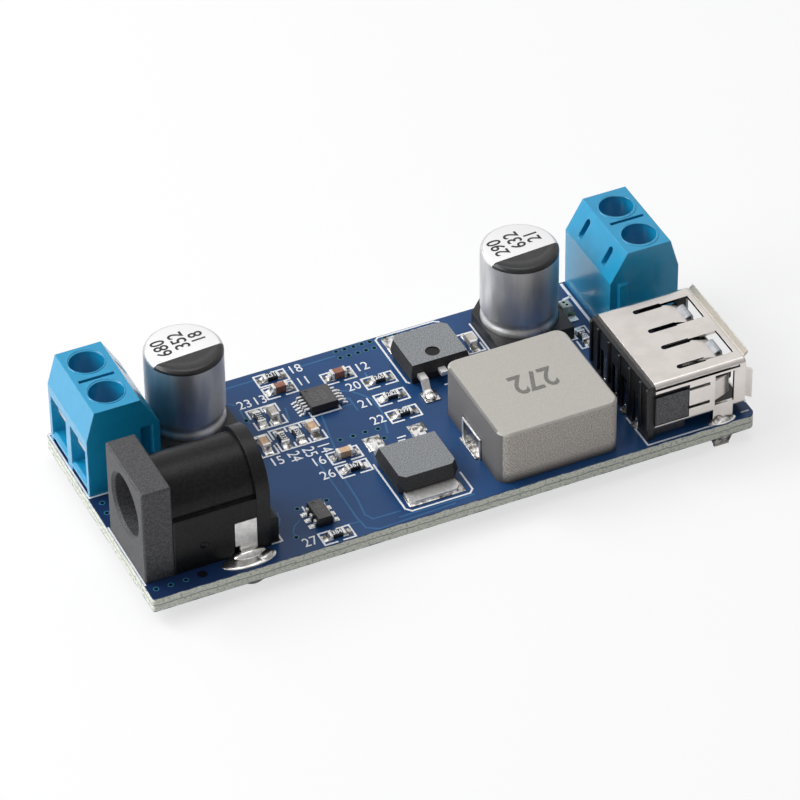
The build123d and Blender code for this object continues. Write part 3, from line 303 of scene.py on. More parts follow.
# %% World
AMBIENT_LEVEL = 0.34
REFLECTED_LEVEL = 0.8
FRONT_SHARE = 0.5
FRONT_END, FRONT_START = -0.9, 0.3
world = bpy.data.worlds.new("studio")
world.use_nodes = True
bpy.context.scene.world = world
path = add_node(world, "ShaderNodeLightPath").outputs
mirrored = sums(world, "MAXIMUM", path["Is Glossy Ray"], path["Is Transmission Ray"])
level = map_range(world, mirrored, to_low=AMBIENT_LEVEL, to_high=REFLECTED_LEVEL)
towards = add_node(world, "ShaderNodeSeparateXYZ", {
    "Vector": add_node(world, "ShaderNodeTexCoord").outputs["Generated"],
}).outputs["Y"]
from_front = map_range(world, towards, FRONT_END, FRONT_START, to_low=FRONT_SHARE)
lit = sums(world, "MULTIPLY", level, from_front)
background = world.node_tree.nodes["Background"]
background.inputs["Color"].default_value = (1, 1, 1, 1)
world.node_tree.links.new(sums(world, "MAXIMUM", lit, path["Is Camera Ray"]),
                          background.inputs["Strength"])
print("room light", AMBIENT_LEVEL, "and in reflections", REFLECTED_LEVEL)

# %% [markdown]
# ## Three lamps
# A soft lamp is a square that glows over its whole face, so its shadows have soft edges and metal
# shows it as a bright band. In a product photograph the light that skims over the parts from
# behind draws their edges, so the strongest lamp stands high behind the input end. A second one
# fills in from the left and a weak third one from above. Each is placed in millimetres from the
# frame's origin and turned to look at the middle of the board. The strength falls with the size of
# the scene: for something this small a watt or two is enough.


# %% Lamps
def softbox(name, place, size, power):
    """A square area lamp that looks at the middle of the board, its place in millimetres."""
    data = bpy.data.lights.new(name, "AREA")
    data.size = size * MM
    data.energy = power
    lamp = bpy.data.objects.new(name, data)
    bpy.context.scene.collection.objects.link(lamp)
    lamp.location = Vector(place) * MM
    aim = LOOK_AT - lamp.location
    lamp.rotation_mode = "QUATERNION"
    lamp.rotation_quaternion = aim.to_track_quat("-Z", "Y")
    print(name, power, "W from", place)


softbox("key_softbox", (-280, 260, 400), 260, 1.7)
softbox("side_softbox", (-380, 20, 200), 240, 0.85)
softbox("top_softbox", (40, 80, 520), 300, 0.55)

# %% [markdown]
# ## Working in board millimetres
# The places of printed lines and solder are given from the board's front corner at the input end,
# on its top face, because that is how they can be measured on the real board. One helper turns such
# a place into the frame, and one makes a small workplace there, a matrix that takes millimetres. The
# last two tell where a solid of the model lies.


# %% Places on the board
def spot(x, y, z=0.0):
    """A point of the frame, from millimetres along, across and above the board's top face."""
    return Vector((board_low.x + x * MM, board_low.y + y * MM, board_high.z + z * MM))


def board_place(x, y, z=0.0, turn=0.0):
    """The matrix of a small workplace on the board, in millimetres, turned about Z in radians."""
    return (Matrix.Translation(spot(x, y, z)) @ Matrix.Rotation(turn, 4, "Z")
            @ Matrix.Scale(MM, 4))


def board_box(node):
    """Low and high corner of a node in board millimetres."""
    low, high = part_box(node)
    origin = spot(0, 0)
    return (low - origin) / MM, (high - origin) / MM


def chip_place(node):
    """A workplace at a small part's foot, X along it, its own size, and if it lies along the board."""
    low, high = board_box(node)
    size, middle = high - low, (low + high) / 2
    lies_along_x = size.x > size.y
    place = board_place(middle.x, middle.y, 0, 0 if lies_along_x else math.pi / 2)
    return place, Vector((max(size.x, size.y), min(size.x, size.y), size.z)), lies_along_x


print("board's front corner at", [round(value, 4) for value in spot(0, 0)])

# %% [markdown]
# ## Plain shapes
# Small parts are built from a few plain shapes: a block, a bar with an outline, a disc and a turned
# shape. Each of them works in the millimetres of a workplace and adds to a bmesh, so that many of
# them can make one piece.


# %% Plain shapes
def add_block(bm, place, centre, size, round_by=0.0):
    """A box in a workplace, its edges rounded where a radius is given."""
    sized = Matrix.Translation(centre) @ Matrix.Diagonal((*size, 1))
    verts = bmesh.ops.create_cube(bm, size=1, matrix=place @ sized)["verts"]
    if round_by:
        edges = list({edge for vert in verts for edge in vert.link_edges})
        bmesh.ops.bevel(bm, geom=edges, offset=round_by * MM, offset_type="OFFSET",
                        affect="EDGES", segments=3, profile=0.5, material=-1)


def add_bar(bm, place, outline, width):
    """A bar whose outline is given along a workplace's X and Z, as wide as given along its Y."""
    corners = [bm.verts.new(place @ Vector((x, -width / 2, z))) for x, z in outline]
    end = bm.faces.new(corners)
    grown = bmesh.ops.extrude_face_region(bm, geom=[end])["geom"]
    bmesh.ops.translate(bm, verts=[item for item in grown if isinstance(item, bmesh.types.BMVert)],
                        vec=place.to_3x3() @ Vector((0, width, 0)))


def add_disc(bm, place, radius, height, sides=20):
    """A round plate standing on a workplace."""
    lift = Matrix.Translation((0, 0, height / 2))
    bmesh.ops.create_cone(bm, cap_ends=True, segments=sides, radius1=radius, radius2=radius,
                          depth=height, matrix=place @ lift)


def add_turned(bm, place, profile, steps=48):
    """A turned shape: a profile in a workplace's X and Z, closed or from axis to axis, spun round Z."""
    points = [bm.verts.new(place @ Vector((radius, 0, z))) for radius, z in profile]
    meets_axis = profile[0][0] == profile[-1][0] == 0
    ring = points if meets_axis else points + points[:1]
    edges = [bm.edges.new(pair) for pair in zip(ring, ring[1:])]
    bmesh.ops.spin(bm, geom=points + edges, cent=place.translation,
                   axis=(place.to_3x3() @ Vector((0, 0, 1))).normalized(), angle=math.tau,
                   steps=steps, use_merge=True)


# %% [markdown]
# ## Finishing a piece
# A finished bmesh becomes an object at the origin, with its place in its mesh. Doubles are merged
# and the normals turned outwards, then it gets its material and rides on its body.


# %% Finishing a piece
def new_piece(name, bm, material, body="module", smooth=False):
    """An object at the origin from a finished bmesh."""
    bmesh.ops.remove_doubles(bm, verts=bm.verts, dist=1e-7)
    bmesh.ops.recalc_face_normals(bm, faces=bm.faces)
    data = bpy.data.meshes.new(name)
    bm.to_mesh(data)
    bm.free()
    data.materials.append(material)
    for face in data.polygons:
        face.use_smooth = smooth
    piece = bpy.data.objects.new(name, data)
    bpy.context.scene.collection.objects.link(piece)
    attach(piece, body)
    print(name, len(data.polygons), "faces")
    return piece


# %% [markdown]
# ## The board
# A circuit board is pressed glass cloth in resin. Its faces are covered with copper and a blue
# lacquer, and only its sawn edge shows the pale laminate, ragged where the router pulled fibres
# out. One material does all of it: the direction that a face looks in decides between lacquer and
# laminate, the height on the edge draws the cloth's layers, and a noise frays them.

# %% Board finish
LACQUER_DARK, LACQUER_LIGHT = shade(24, 62, 108), shade(30, 72, 122)
COPPER_DARK, COPPER_LIGHT = shade(40, 92, 140), shade(52, 108, 156)
LACQUER_PAINTED_SHADE = shade(22, 44, 82)
LACQUER_GLOSS = 0.3
EDGE_ROUGHNESS = 0.8
LAMINATE, FIBRE_LINE = shade(214, 216, 204), shade(108, 112, 104)
LAMINATE_FLECK = shade(128, 148, 150)
RIM_BLUE = shade(22, 40, 92)
EDGE_LAYERS = ((0.0, RIM_BLUE), (0.05, LAMINATE), (0.42, LAMINATE), (0.47, FIBRE_LINE),
               (0.53, LAMINATE), (0.92, LAMINATE), (0.965, RIM_BLUE))
FRAY = 0.24
FLECK_SHARE = 0.8
board_size = (board_high - board_low) / MM
BOARD_THICKNESS = board_size.z


def lacquer_finish(name, dark, light):
    """Glossy blue lacquer that wanders a little between two shades."""
    material = new_finish(name, dark, LACQUER_GLOSS, Specular_IOR_Level=0.38)
    add_relief(material, 2400, 0.000012, 0.00003)
    return material, mottle(material, 110, dark, light)


lacquer, lacquer_shades = lacquer_finish("blue_lacquer_on_laminate", LACQUER_DARK, LACQUER_LIGHT)
wander = sums(lacquer, "SUBTRACT", noise(lacquer, 900, 6), 0.5)
frayed = sums(lacquer, "ADD", rise(lacquer, -BOARD_THICKNESS, 0),
              sums(lacquer, "MULTIPLY", wander, FRAY))
flecks = map_range(lacquer, noise(lacquer, 3200, 6, (1, 1, 1.6)), 0.5, 0.66, to_high=FLECK_SHARE)
cut_edge = blend(lacquer, flecks, ramp(lacquer, frayed, *EDGE_LAYERS), LAMINATE_FLECK)
is_flat = sums(lacquer, "GREATER_THAN", sums(lacquer, "ABSOLUTE", facing(lacquer, "Z")), 0.5)
# Towards the input end the lacquer is painted darker, a painted shade.
shaded_input_end = blend(lacquer, run(lacquer, 4, 20), LACQUER_PAINTED_SHADE, lacquer_shades)
feed(lacquer, "Base Color", blend(lacquer, is_flat, cut_edge, shaded_input_end))
feed(lacquer, "Roughness", map_range(lacquer, is_flat, to_low=EDGE_ROUGHNESS, to_high=LACQUER_GLOSS))

over_copper, copper_shades = lacquer_finish("lacquer_over_copper", COPPER_DARK, COPPER_LIGHT)
feed(over_copper, "Base Color", copper_shades)
print("board thickness", round(BOARD_THICKNESS, 2), "mm")

# %% [markdown]
# ## Plastics of the terminals and sockets
# Moulded plastics are matt grained surfaces, so each gets two near shades, a wandering noise and a
# fine relief. The jack's square front block is rougher than its barrel, and its lighter grey is a
# painted sheen of the light that grazes it, so its finish changes at one place along the board. The
# USB socket's insulator is black, and the face that looks to the front is painted a lighter grey, a
# painted sheen. The terminals are glossy because their mould was polished.

# %% Terminals and sockets
terminal_blue = grained("terminal_plastic", shade(18, 145, 191), shade(22, 150, 196), 0.27,
                        900, 0.000005, 0.00014, Coat_Weight=0.35, Coat_Roughness=0.12)
charcoal = new_finish("jack_plastic", shade(40, 40, 42), 0.5)
past_block = run(charcoal, 3.2, 3.5)
# The block's lighter grey is a painted sheen of grazing light, and the barrel keeps the plastic's
# black.
feed(charcoal, "Base Color", blend(
    charcoal, past_block,
    mottle(charcoal, 6500, shade(44, 44, 46), shade(76, 76, 79), 0.12, detail=4),
    mottle(charcoal, 3000, shade(16, 16, 17), shade(28, 28, 29))))
for socket, on_block, on_barrel in (("Roughness", 0.55, 0.3), ("Specular IOR Level", 0.5, 0.2)):
    feed(charcoal, socket, map_range(charcoal, past_block, to_low=on_block, to_high=on_barrel))
add_relief(charcoal, 5200, 0.00002, 0.00015)
cap_plastic = grained("jack_cap_plastic", shade(18, 18, 19), shade(30, 30, 32), 0.34,
                      4200, 0.00001, 0.0001, Specular_IOR_Level=0.25)
black_nylon = new_finish("black_nylon", shade(20, 20, 22), 0.4)
# Painted sheen: the face that looks to the front, past the socket's back, is painted a lighter grey.
faces_front = sums(black_nylon, "LESS_THAN", facing(black_nylon, "Y"), -0.9)
feed(black_nylon, "Base Color", blend(
    black_nylon, sums(black_nylon, "MULTIPLY", faces_front, run(black_nylon, 53.9, 54.0)),
    mottle(black_nylon, 3000, shade(16, 16, 18), shade(28, 28, 30), 0.1),
    mottle(black_nylon, 7000, shade(48, 48, 52), shade(92, 92, 98), detail=4)))
add_relief(black_nylon, 3000, 0.000006, 0.00006)
print("plastics:", len(bpy.data.materials), "materials so far")

# %% [markdown]
# ## Chip bodies
# A chip is moulded in black resin. On both finishes the top face is a lighter, speckled grey than
# the sides, a painted sheen of the light that skims over the tops. On the power transistors it is
# lighter than on the two small chips. So both finishes ask which way a face looks.

# %% Chip bodies
mould = new_finish("chip_moulding", shade(60, 60, 62), 0.6)
# The lighter top is a painted sheen, and the sides keep the resin's black.
feed(mould, "Base Color", blend(
    mould, looks_up(mould),
    mottle(mould, 6000, shade(26, 26, 28), shade(42, 42, 44), 0.1),
    mottle(mould, 9000, shade(92, 95, 98), shade(158, 161, 164), 0.16)))
dark_mould = new_finish("control_chip_moulding", shade(60, 60, 62), 0.55)
# The lighter top is a painted sheen here too.
feed(dark_mould, "Base Color", blend(
    dark_mould, looks_up(dark_mould), shade(24, 24, 26),
    mottle(dark_mould, 9000, shade(64, 63, 64), shade(92, 91, 92), 0.12)))
for resin in (mould, dark_mould):
    add_relief(resin, 9000, 0.00002, 0.00005)
print("with the chips:", len(bpy.data.materials), "materials so far")

# %% [markdown]
# ## Metals
# Tinned and nickelled metal is bright with soft reflections, and solder is the same metal with a
# mottled skin that set unevenly. Faces inside the USB shell are painted nearly black, a painted
# shade for the little light that arrives there: they are told apart by whether they look away from
# the shell's middle. The lip over the socket's mouth is painted darker too, a painted shade. The
# can's lid is paler than its side.

# %% Metals
tin = grained("tinned_metal", (0.78, 0.77, 0.75), (0.94, 0.93, 0.91), 0.28, 2600, 0.00001, 0.00005,
              metallic=0.6)
solder = grained("solder", (0.14, 0.13, 0.12), (0.96, 0.95, 0.93), 0.22, 1500, 0.00005, 0.00005,
                 metallic=0.85, spread=0.1)
smooth_solder = grained("smooth_solder", (0.40, 0.39, 0.38), (0.82, 0.81, 0.79), 0.24, 700,
                        0.00003, 0.00005, metallic=1.0, spread=0.12)
# Painted shade: the USB contacts and the block's clips are tin painted dark.
painted_shade_tin = grained("shaded_contact", (0.10, 0.10, 0.10), (0.30, 0.29, 0.28), 0.24, 1200, 0.00001,
                   0.00005, metallic=1.0)
nickel = new_finish("nickel_shell", (0.82, 0.77, 0.73), 0.26, 1.0)
usb_low, usb_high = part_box("usb_shell")
from_middle = add_node(nickel, "ShaderNodeVectorMath", {
    0: object_place(nickel), 1: (usb_low + usb_high) / 2,
}, operation="SUBTRACT").outputs[0]
outwards = add_node(nickel, "ShaderNodeVectorMath", {
    0: from_middle, 1: add_node(nickel, "ShaderNodeNewGeometry").outputs["Normal"],
}, operation="DOT_PRODUCT").outputs["Value"]
on_top_lip = sums(nickel, "MULTIPLY", run(nickel, 63.6, 63.9),
                  sums(nickel, "GREATER_THAN", rise(nickel, 6.5, 7.0), 0.5))
plate_shades = mottle(nickel, 500, (0.80, 0.75, 0.71), (0.85, 0.80, 0.76), 0.1)
# Painted shade: faces that look towards the shell's middle go nearly black, and the top lip darker.
feed(nickel, "Base Color", blend(
    nickel, sums(nickel, "LESS_THAN", outwards, 0),
    blend(nickel, on_top_lip, plate_shades, (0.40, 0.37, 0.32)), (0.05, 0.05, 0.05)))
add_relief(nickel, 900, 0.000002, 0.00005)
contact_plate = grained("contact_plate", shade(160, 168, 176), shade(206, 211, 215), 0.4,
                        1800, 0.00001, 0.0001, metallic=0.3)
aluminium = new_finish("aluminium_can", (0.62, 0.62, 0.63), 0.47, 1.0)
feed(aluminium, "Base Color", blend(
    aluminium, looks_up(aluminium, 0.95),
    mottle(aluminium, 900, (0.57, 0.57, 0.58), (0.67, 0.67, 0.68), 0.1, stretch=(1, 1, 0.2)),
    (0.90, 0.90, 0.90)))
add_relief(aluminium, 1400, 0.000004, 0.0001)
print("metals:", len(bpy.data.materials), "materials so far")

# %% [markdown]
# ## The ferrite block
# The inductor is pressed iron powder: a pale grey with dark and light grains, smoother on the top,
# where the press was polished. It is darker on the face that looks to the input end, and at its
# foot, where little light arrives.

# %% Ferrite block
BLOCK_FOOT = (0.1, 1.3)
ferrite = new_finish("inductor_block", shade(176, 172, 166), 0.5)
sides = mottle(ferrite, 7500, shade(128, 122, 115), shade(208, 202, 194), 0.2, detail=6)
top = mottle(ferrite, 9000, shade(172, 169, 163), shade(192, 188, 182), 0.2, detail=4)
powder = blend(ferrite, looks_up(ferrite, 0.7), sides, top)
# Painted shade: the face towards the input end and the block's foot are painted darker.
shadowed = blend(ferrite, sums(ferrite, "LESS_THAN", facing(ferrite, "X"), -0.7), powder,
                 shade(112, 110, 109))
feed(ferrite, "Base Color", blend(ferrite, rise(ferrite, *BLOCK_FOOT), shade(80, 78, 76), shadowed))
add_relief(ferrite, 6000, 0.000012, 0.00012)
print("block shaded below", BLOCK_FOOT[1], "mm over the board")

# %% [markdown]
# ## Small chips, and who wears what
# Resistors are a glossy black. Ceramic capacitors are tan, brown or grey after their powder.
# Then each solid gets its finish by a word in its name, the longest fitting word first.

# %% Small chips and all finishes
CERAMIC_GRAIN = (2600, 0.000006, 0.00003)
chip_black = grained("resistor_body", shade(16, 16, 18), shade(34, 34, 36), 0.3,
                     3000, 0.000006, 0.00003)
tan = grained("ceramic_tan", shade(200, 164, 132), shade(222, 190, 158), 0.4, *CERAMIC_GRAIN)
brown = grained("ceramic_brown", shade(140, 92, 74), shade(170, 116, 96), 0.36, *CERAMIC_GRAIN)
pale_grey = grained("ceramic_grey", shade(188, 182, 174), shade(214, 208, 200), 0.4, *CERAMIC_GRAIN)
lamp_dark = grained("lamp_carrier", shade(96, 116, 108), shade(128, 146, 138), 0.4,
                    3000, 0.00001, 0.00003)
lamp_clear = grained("lamp_lens", shade(168, 182, 174), shade(208, 218, 210), 0.12,
                     2400, 0.000006, 0.00003)

FINISHES = {
    "board": lacquer, "terminal_housing": terminal_blue, "terminal_contacts": contact_plate,
    "screw": tin, "guard": tin, "jack_housing": charcoal, "jack_rear_cap": cap_plastic,
    "jack_centre_pin": tin, "jack_sleeve_spring": tin, "jack_switch_contact": tin,
    "usb_shell": nickel, "usb_insulator": black_nylon, "usb_contacts": painted_shade_tin,
    "capacitor_can": aluminium, "capacitor_base": black_nylon, "capacitor_leads": tin,
    "inductor_core": ferrite, "inductor_terminals": painted_shade_tin, "transistor_body": mould,
    "transistor_leads": tin, "controller_body": dark_mould, "controller_leads": tin,
    "charging_chip_body": dark_mould, "charging_chip_leads": tin, "resistor": chip_black,
    "ceramic_capacitor": tan, "lamp_base": lamp_dark, "lamp_lens": lamp_clear,
    "solder_joints": solder,
}
CHIP_COLOURS = {
    "ceramic_capacitor_1": brown, "ceramic_capacitor_2": brown,
    "ceramic_capacitor_3": pale_grey, "ceramic_capacitor_7": pale_grey,
}
for name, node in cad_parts.items():
    finish = next(FINISHES[key] for key in sorted(FINISHES, key=len, reverse=True) if key in name)
    node.data.materials.clear()
    node.data.materials.append(CHIP_COLOURS.get(name, finish))
small_parts = sorted(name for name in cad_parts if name.startswith(("resistor", "ceramic")))
print("small chip parts:", len(small_parts))

# %% [markdown]
# ## Copper under the lacquer
# Copper tracks are etched before the lacquer goes on, so their edges stand out through it as fine
# lines of a lighter blue. Each edge is a very flat strip through a few places read off the board.
# A wide track shows two such lines, one per side.

# %% Copper edges
COPPER_HEIGHT = 0.012
COPPER_EDGE_WIDTH = 0.2
JOINT_STEP = 0.15
COPPER_EDGES = (
    ((18.4, 26.35), (30.9, 26.45)),
    ((28.6, 21.4), (29.95, 20.7), (30.8, 19.6), (31.4, 18.6), (31.45, 16.3), (30.6, 13.1)),
    ((28.5, 20.5), (29.4, 19.6), (29.4, 17.6)),
    ((32.5, 22.7), (32.4, 21.5)),
    ((29.3, 18.75), (25.85, 18.65), (25.2, 15.0), (24.9, 13.1)),
    ((22.55, 12.0), (22.5, 2.6), (22.7, 0.9), (23.8, 0.2), (32.05, 0.5)),
    ((23.9, 11.35), (23.7, 5.0), (23.4, 2.7), (23.85, 1.8), (26.7, 1.75)),
    ((26.3, 0.95), (34.3, 0.95)),
    ((18.8, 22.7), (18.7, 21.4), (18.85, 20.3)),
    ((23.0, 21.0), (22.6, 19.2)),
    ((17.25, 4.6), (16.45, 4.0), (16.0, 3.25), (16.1, 2.5)),
    ((21.0, 2.15), (22.35, 2.0)),
    ((15.8, 6.6), (15.6, 5.6), (15.05, 4.7)),
    ((16.9, 25.0), (18.6, 23.6)),
    ((43.6, 18.3), (47.2, 18.2), (48.1, 17.3), (48.2, 15.0)),
    ((51.4, 17.8), (53.0, 16.9), (53.1, 14.6)),
)


def stroke(bm, points, width, height, level=0.0):
    """A flat line through board points, every second stretch a trace higher where they overlap."""
    for index, ((x0, y0), (x1, y1)) in enumerate(zip(points, points[1:])):
        place = board_place((x0 + x1) / 2, (y0 + y1) / 2, level, math.atan2(y1 - y0, x1 - x0))
        top = height * (1 + JOINT_STEP * (index % 2))
        add_block(bm, place, (0, 0, top / 2), (math.hypot(x1 - x0, y1 - y0) + width, width, top))


copper = bmesh.new()
for edge in COPPER_EDGES:
    stroke(copper, edge, COPPER_EDGE_WIDTH, COPPER_HEIGHT)
new_piece("copper_edges", copper, over_copper)

# %% [markdown]
# ## Vias
# A via is a plated hole that joins the copper of both faces. From above it is a small dark dot in
# a lighter ring. The hole is not cut, and a very flat dark disc paints the shade in it. Rows of them
# carry heat away beside the power transistors, and a larger dark dot lies near the jack. The rings
# and the painted hole shade are very flat discs on both faces.

# %% Vias
VIA_RING_RADIUS = 0.31
VIA_RADIUS = 0.2
VIA_HEIGHT = 0.016
HOLE_HEIGHT = 1.4 * VIA_HEIGHT
BACK_ROW_Y = 27.07
SECOND_ROW_Y = 25.97
VIA_ROW_X = (31.25, 32.2, 33.2, 34.1, 35.0)
vias = [(x, y) for y in (BACK_ROW_Y, SECOND_ROW_Y) for x in VIA_ROW_X]
vias += [(36.7, BACK_ROW_Y), (37.8, BACK_ROW_Y)]
vias += [(18.7, 20.9), (21.3, 18.9), (19.8, 16.0), (20.9, 6.3), (17.8, 6.35), (16.0, 2.5)]
vias += [(25.9, 14.15), (27.3, 14.15), (28.65, 14.2), (30.0, 14.1), (29.95, 12.55)]
vias += [(1.0, 15.35), (0.85, 13.75), (0.85, 1.35), (2.35, 1.3), (3.95, 1.35)]
via_rings, via_holes = bmesh.new(), bmesh.new()
for x, y in vias:
    for level, lift in ((0, 0), (-BOARD_THICKNESS, -1)):
        for bm, radius, height in ((via_rings, VIA_RING_RADIUS, VIA_HEIGHT),
                                   (via_holes, VIA_RADIUS, HOLE_HEIGHT)):
            add_disc(bm, board_place(x, y, level + lift * height), radius, height)
# The holes are not cut: these dark discs are painted shade in their place.
via_dark = grained("via_hole", shade(4, 6, 12), shade(10, 14, 24), 0.8, 9000, 0.00001, 0.00001,
                   Specular_IOR_Level=0.1)
LARGE_DARK_DOT = (5.7, 1.45)
LARGE_DARK_DOT_RADIUS = 0.5
add_disc(via_holes, board_place(*LARGE_DARK_DOT), LARGE_DARK_DOT_RADIUS, VIA_HEIGHT, sides=28)
ring_blue = grained("via_ring_lacquer", shade(34, 100, 128), shade(48, 120, 148), 0.3,
                    6000, 0.000004, 0.00001)
new_piece("via_rings", via_rings, ring_blue)
new_piece("via_holes", via_holes, via_dark)

# %% [markdown]
# ## Printed lines round the small parts
# The white outlines on a board are screen-printed ink, a fifth of a millimetre wide and far too thin
# to feel. Most small parts have the same bracket round their pads, open at the middle of the long
# sides, so one function draws it from the place of the part itself. Two groups of parts share a
# box with walls between them.

# %% Outlines of the small parts
INK_WIDTH = 0.19
INK_HEIGHT = 0.026
BRACKET_LENGTH = 3.25
BRACKET_WIDTH = 1.8
BRACKET_GAP = 0.75
WALL_LENGTH = 0.7
GROUP_LOW_X, GROUP_HIGH_X = 19.3, 25.0
white_ink = grained("white_ink", shade(228, 231, 236), shade(244, 246, 250), 0.5,
                    6000, 0.000006, 0.00001)


def ink(bm, points, width=INK_WIDTH):
    """A printed line through board points, kept clear of the board's back edge."""
    stroke(bm, [(x, min(y, board_size.y - width)) for x, y in points], width, INK_HEIGHT)


def bracket(bm, x, y, along_x):
    """An outline in two halves round a small part, open at the middle of its long sides."""
    for side in (-1, 1):
        path = [(side * BRACKET_GAP / 2, -BRACKET_WIDTH / 2),
                (side * BRACKET_LENGTH / 2, -BRACKET_WIDTH / 2),
                (side * BRACKET_LENGTH / 2, BRACKET_WIDTH / 2),
                (side * BRACKET_GAP / 2, BRACKET_WIDTH / 2)]
        ink(bm, [(x + u, y + v) if along_x else (x - v, y + u) for u, v in path])


def shared_box(bm, low_x, low_y, high_x, high_y, walls):
    """One outline round a row of small parts, open at the sides, with short walls between them."""
    for near, far in ((low_y, (low_y + high_y) / 2 - BRACKET_GAP / 2),
                      (high_y, (low_y + high_y) / 2 + BRACKET_GAP / 2)):
        ink(bm, [(low_x, far), (low_x, near), (high_x, near), (high_x, far)])
        for x in walls:
            ink(bm, [(x, near), (x, near + math.copysign(WALL_LENGTH, far - near))])


prints = bmesh.new()
for name in small_parts:
    place, size, along_x = chip_place(name)
    at = (place.translation - spot(0, 0)) / MM
    if along_x or not GROUP_LOW_X < at.x < GROUP_HIGH_X:
        bracket(prints, at.x, at.y, along_x)
shared_box(prints, 19.2, 18.95, 22.35, 22.15, (20.75,))
shared_box(prints, 20.0, 15.0, 24.95, 18.35, (21.65, 23.2))
print("outlines of", len(small_parts), "small parts:", len(prints.faces), "faces")

# %% [markdown]
# ## Printed lines at the ends of the board
# A line round each terminal and socket shows where it has to stand. Most of it is hidden under the
# part, so only the stretches that can be seen are drawn, from the corners of the part itself.

# %% Outlines at the ends
low, high = board_box("input_terminal_housing")
ink(prints, [(high.x + 0.2, high.y + 0.2), (low.x - 0.12, high.y + 0.2),
             (low.x - 0.12, low.y - 0.1), (high.x + 0.2, low.y - 0.1)])
low, high = board_box("output_terminal_housing")
ink(prints, [(low.x - 0.45, high.y - 0.1), (low.x - 0.45, low.y + 3.1), (low.x - 0.7, low.y + 3.0)],
    width=0.3)
ink(prints, [(low.x - 1.3, low.y + 8.15), (low.x - 0.6, low.y + 8.3)], width=0.3)
low, high = board_box("jack_housing")
cap_high = board_box("jack_rear_cap")[1]
ink(prints, [(low.x - 0.12, high.y + 0.15), (low.x - 0.12, low.y - 0.15)])
ink(prints, [(cap_high.x - 0.75, low.y + 0.15), (cap_high.x + 0.3, low.y + 0.15),
             (cap_high.x + 0.3, low.y + 1.3)])
low, high = board_box("usb_insulator")
ink(prints, [(low.x + 7.0, low.y - 0.25), (low.x - 0.2, low.y - 0.25), (low.x - 0.2, low.y + 4.4)])
ink(prints, [(63.7, 0.9), (64.4, 0.9)])
print("with the ends:", len(prints.faces), "faces")

# %% [markdown]
# ## Printed lines round the chips and cans
# The two transistors have a line with cut corners round body and tab, the small chips short lines
# at their ends, and each can two brackets beside its base.

# %% Outlines of chips and cans
low, high = board_box("low_side_transistor_body")
ink(prints, [(low.x - 0.1, high.y + 0.1), (low.x - 0.1, low.y - 1.5), (low.x + 0.4, low.y - 2.05),
             (high.x + 0.05, low.y - 2.03), (high.x + 0.5, low.y - 1.55),
             (high.x + 0.5, low.y + 1.2)])
ink(prints, [(31.2, 11.95), (31.95, 11.95)])
low, high = board_box("high_side_transistor_body")
ink(prints, [(low.x + 0.05, low.y + 0.6), (low.x - 0.15, low.y + 0.9),
             (low.x - 0.15, high.y + 2.5), (low.x + 0.2, high.y + 2.82),
             (high.x - 0.2, high.y + 2.9), (high.x + 0.3, high.y + 2.5)])
ink(prints, [(39.0, 17.55), (39.5, 17.5)])
low, high = board_box("controller_body")
ink(prints, [(low.x - 0.05, low.y + 0.5), (low.x - 0.05, low.y - 0.2), (high.x + 0.1, low.y - 0.2),
             (high.x + 0.1, low.y + 0.5)])
low, high = board_box("charging_chip_body")
ink(prints, [(low.x - 0.12, high.y - 0.35), (low.x - 0.12, high.y + 0.6)])
ink(prints, [(high.x + 0.12, high.y - 0.35), (high.x + 0.12, high.y + 0.45)])
for name in ("input_capacitor_base", "output_capacitor_base"):
    low, high = board_box(name)
    for near, far in ((low.x - 0.2, low.x + 3.0), (high.x + 0.2, high.x - 3.0)):
        ink(prints, [(far, low.y - 0.2), (near, low.y - 0.2), (near, high.y - 1.8)])
new_piece("printed_outlines", prints, white_ink)

# %% [markdown]
# ## How a number is made
# A text object makes the outlines of the digits. They become a mesh, are laid in place and join a
# bmesh, and the text object is taken away again.


# %% Number helper
def add_number(bm, text, size, place, thickness=INK_HEIGHT, boldness=0.005, narrow=0.86):
    """Digits as a thin mesh, centred on a workplace and standing up from its XY plane."""
    curve = bpy.data.curves.new("digits", "FONT")
    curve.body = text
    curve.size = size
    curve.align_x, curve.align_y = "CENTER", "CENTER"
    curve.resolution_u = 3
    curve.extrude = thickness / 2
    curve.offset = boldness
    holder = bpy.data.objects.new("digits", curve)
    bpy.context.scene.collection.objects.link(holder)
    bpy.context.view_layer.update()
    flat = bpy.data.meshes.new_from_object(
        holder.evaluated_get(bpy.context.evaluated_depsgraph_get()))
    flat.transform(place @ Matrix.Translation((0, 0, thickness / 2))
                   @ Matrix.Diagonal((narrow, 1, 1, 1)))
    bm.from_mesh(flat)
    bpy.data.objects.remove(holder)
    bpy.data.curves.remove(curve)
    bpy.data.meshes.remove(flat)


# %% [markdown]
# ## Plain numbers
# Boards carry a short mark beside each part, here plain running numbers. A part that lies along the
# board has its number beside it. The others have it in front of them or, in the rear one of the two
# groups, behind them, and in the other group it is turned to fit below its part.

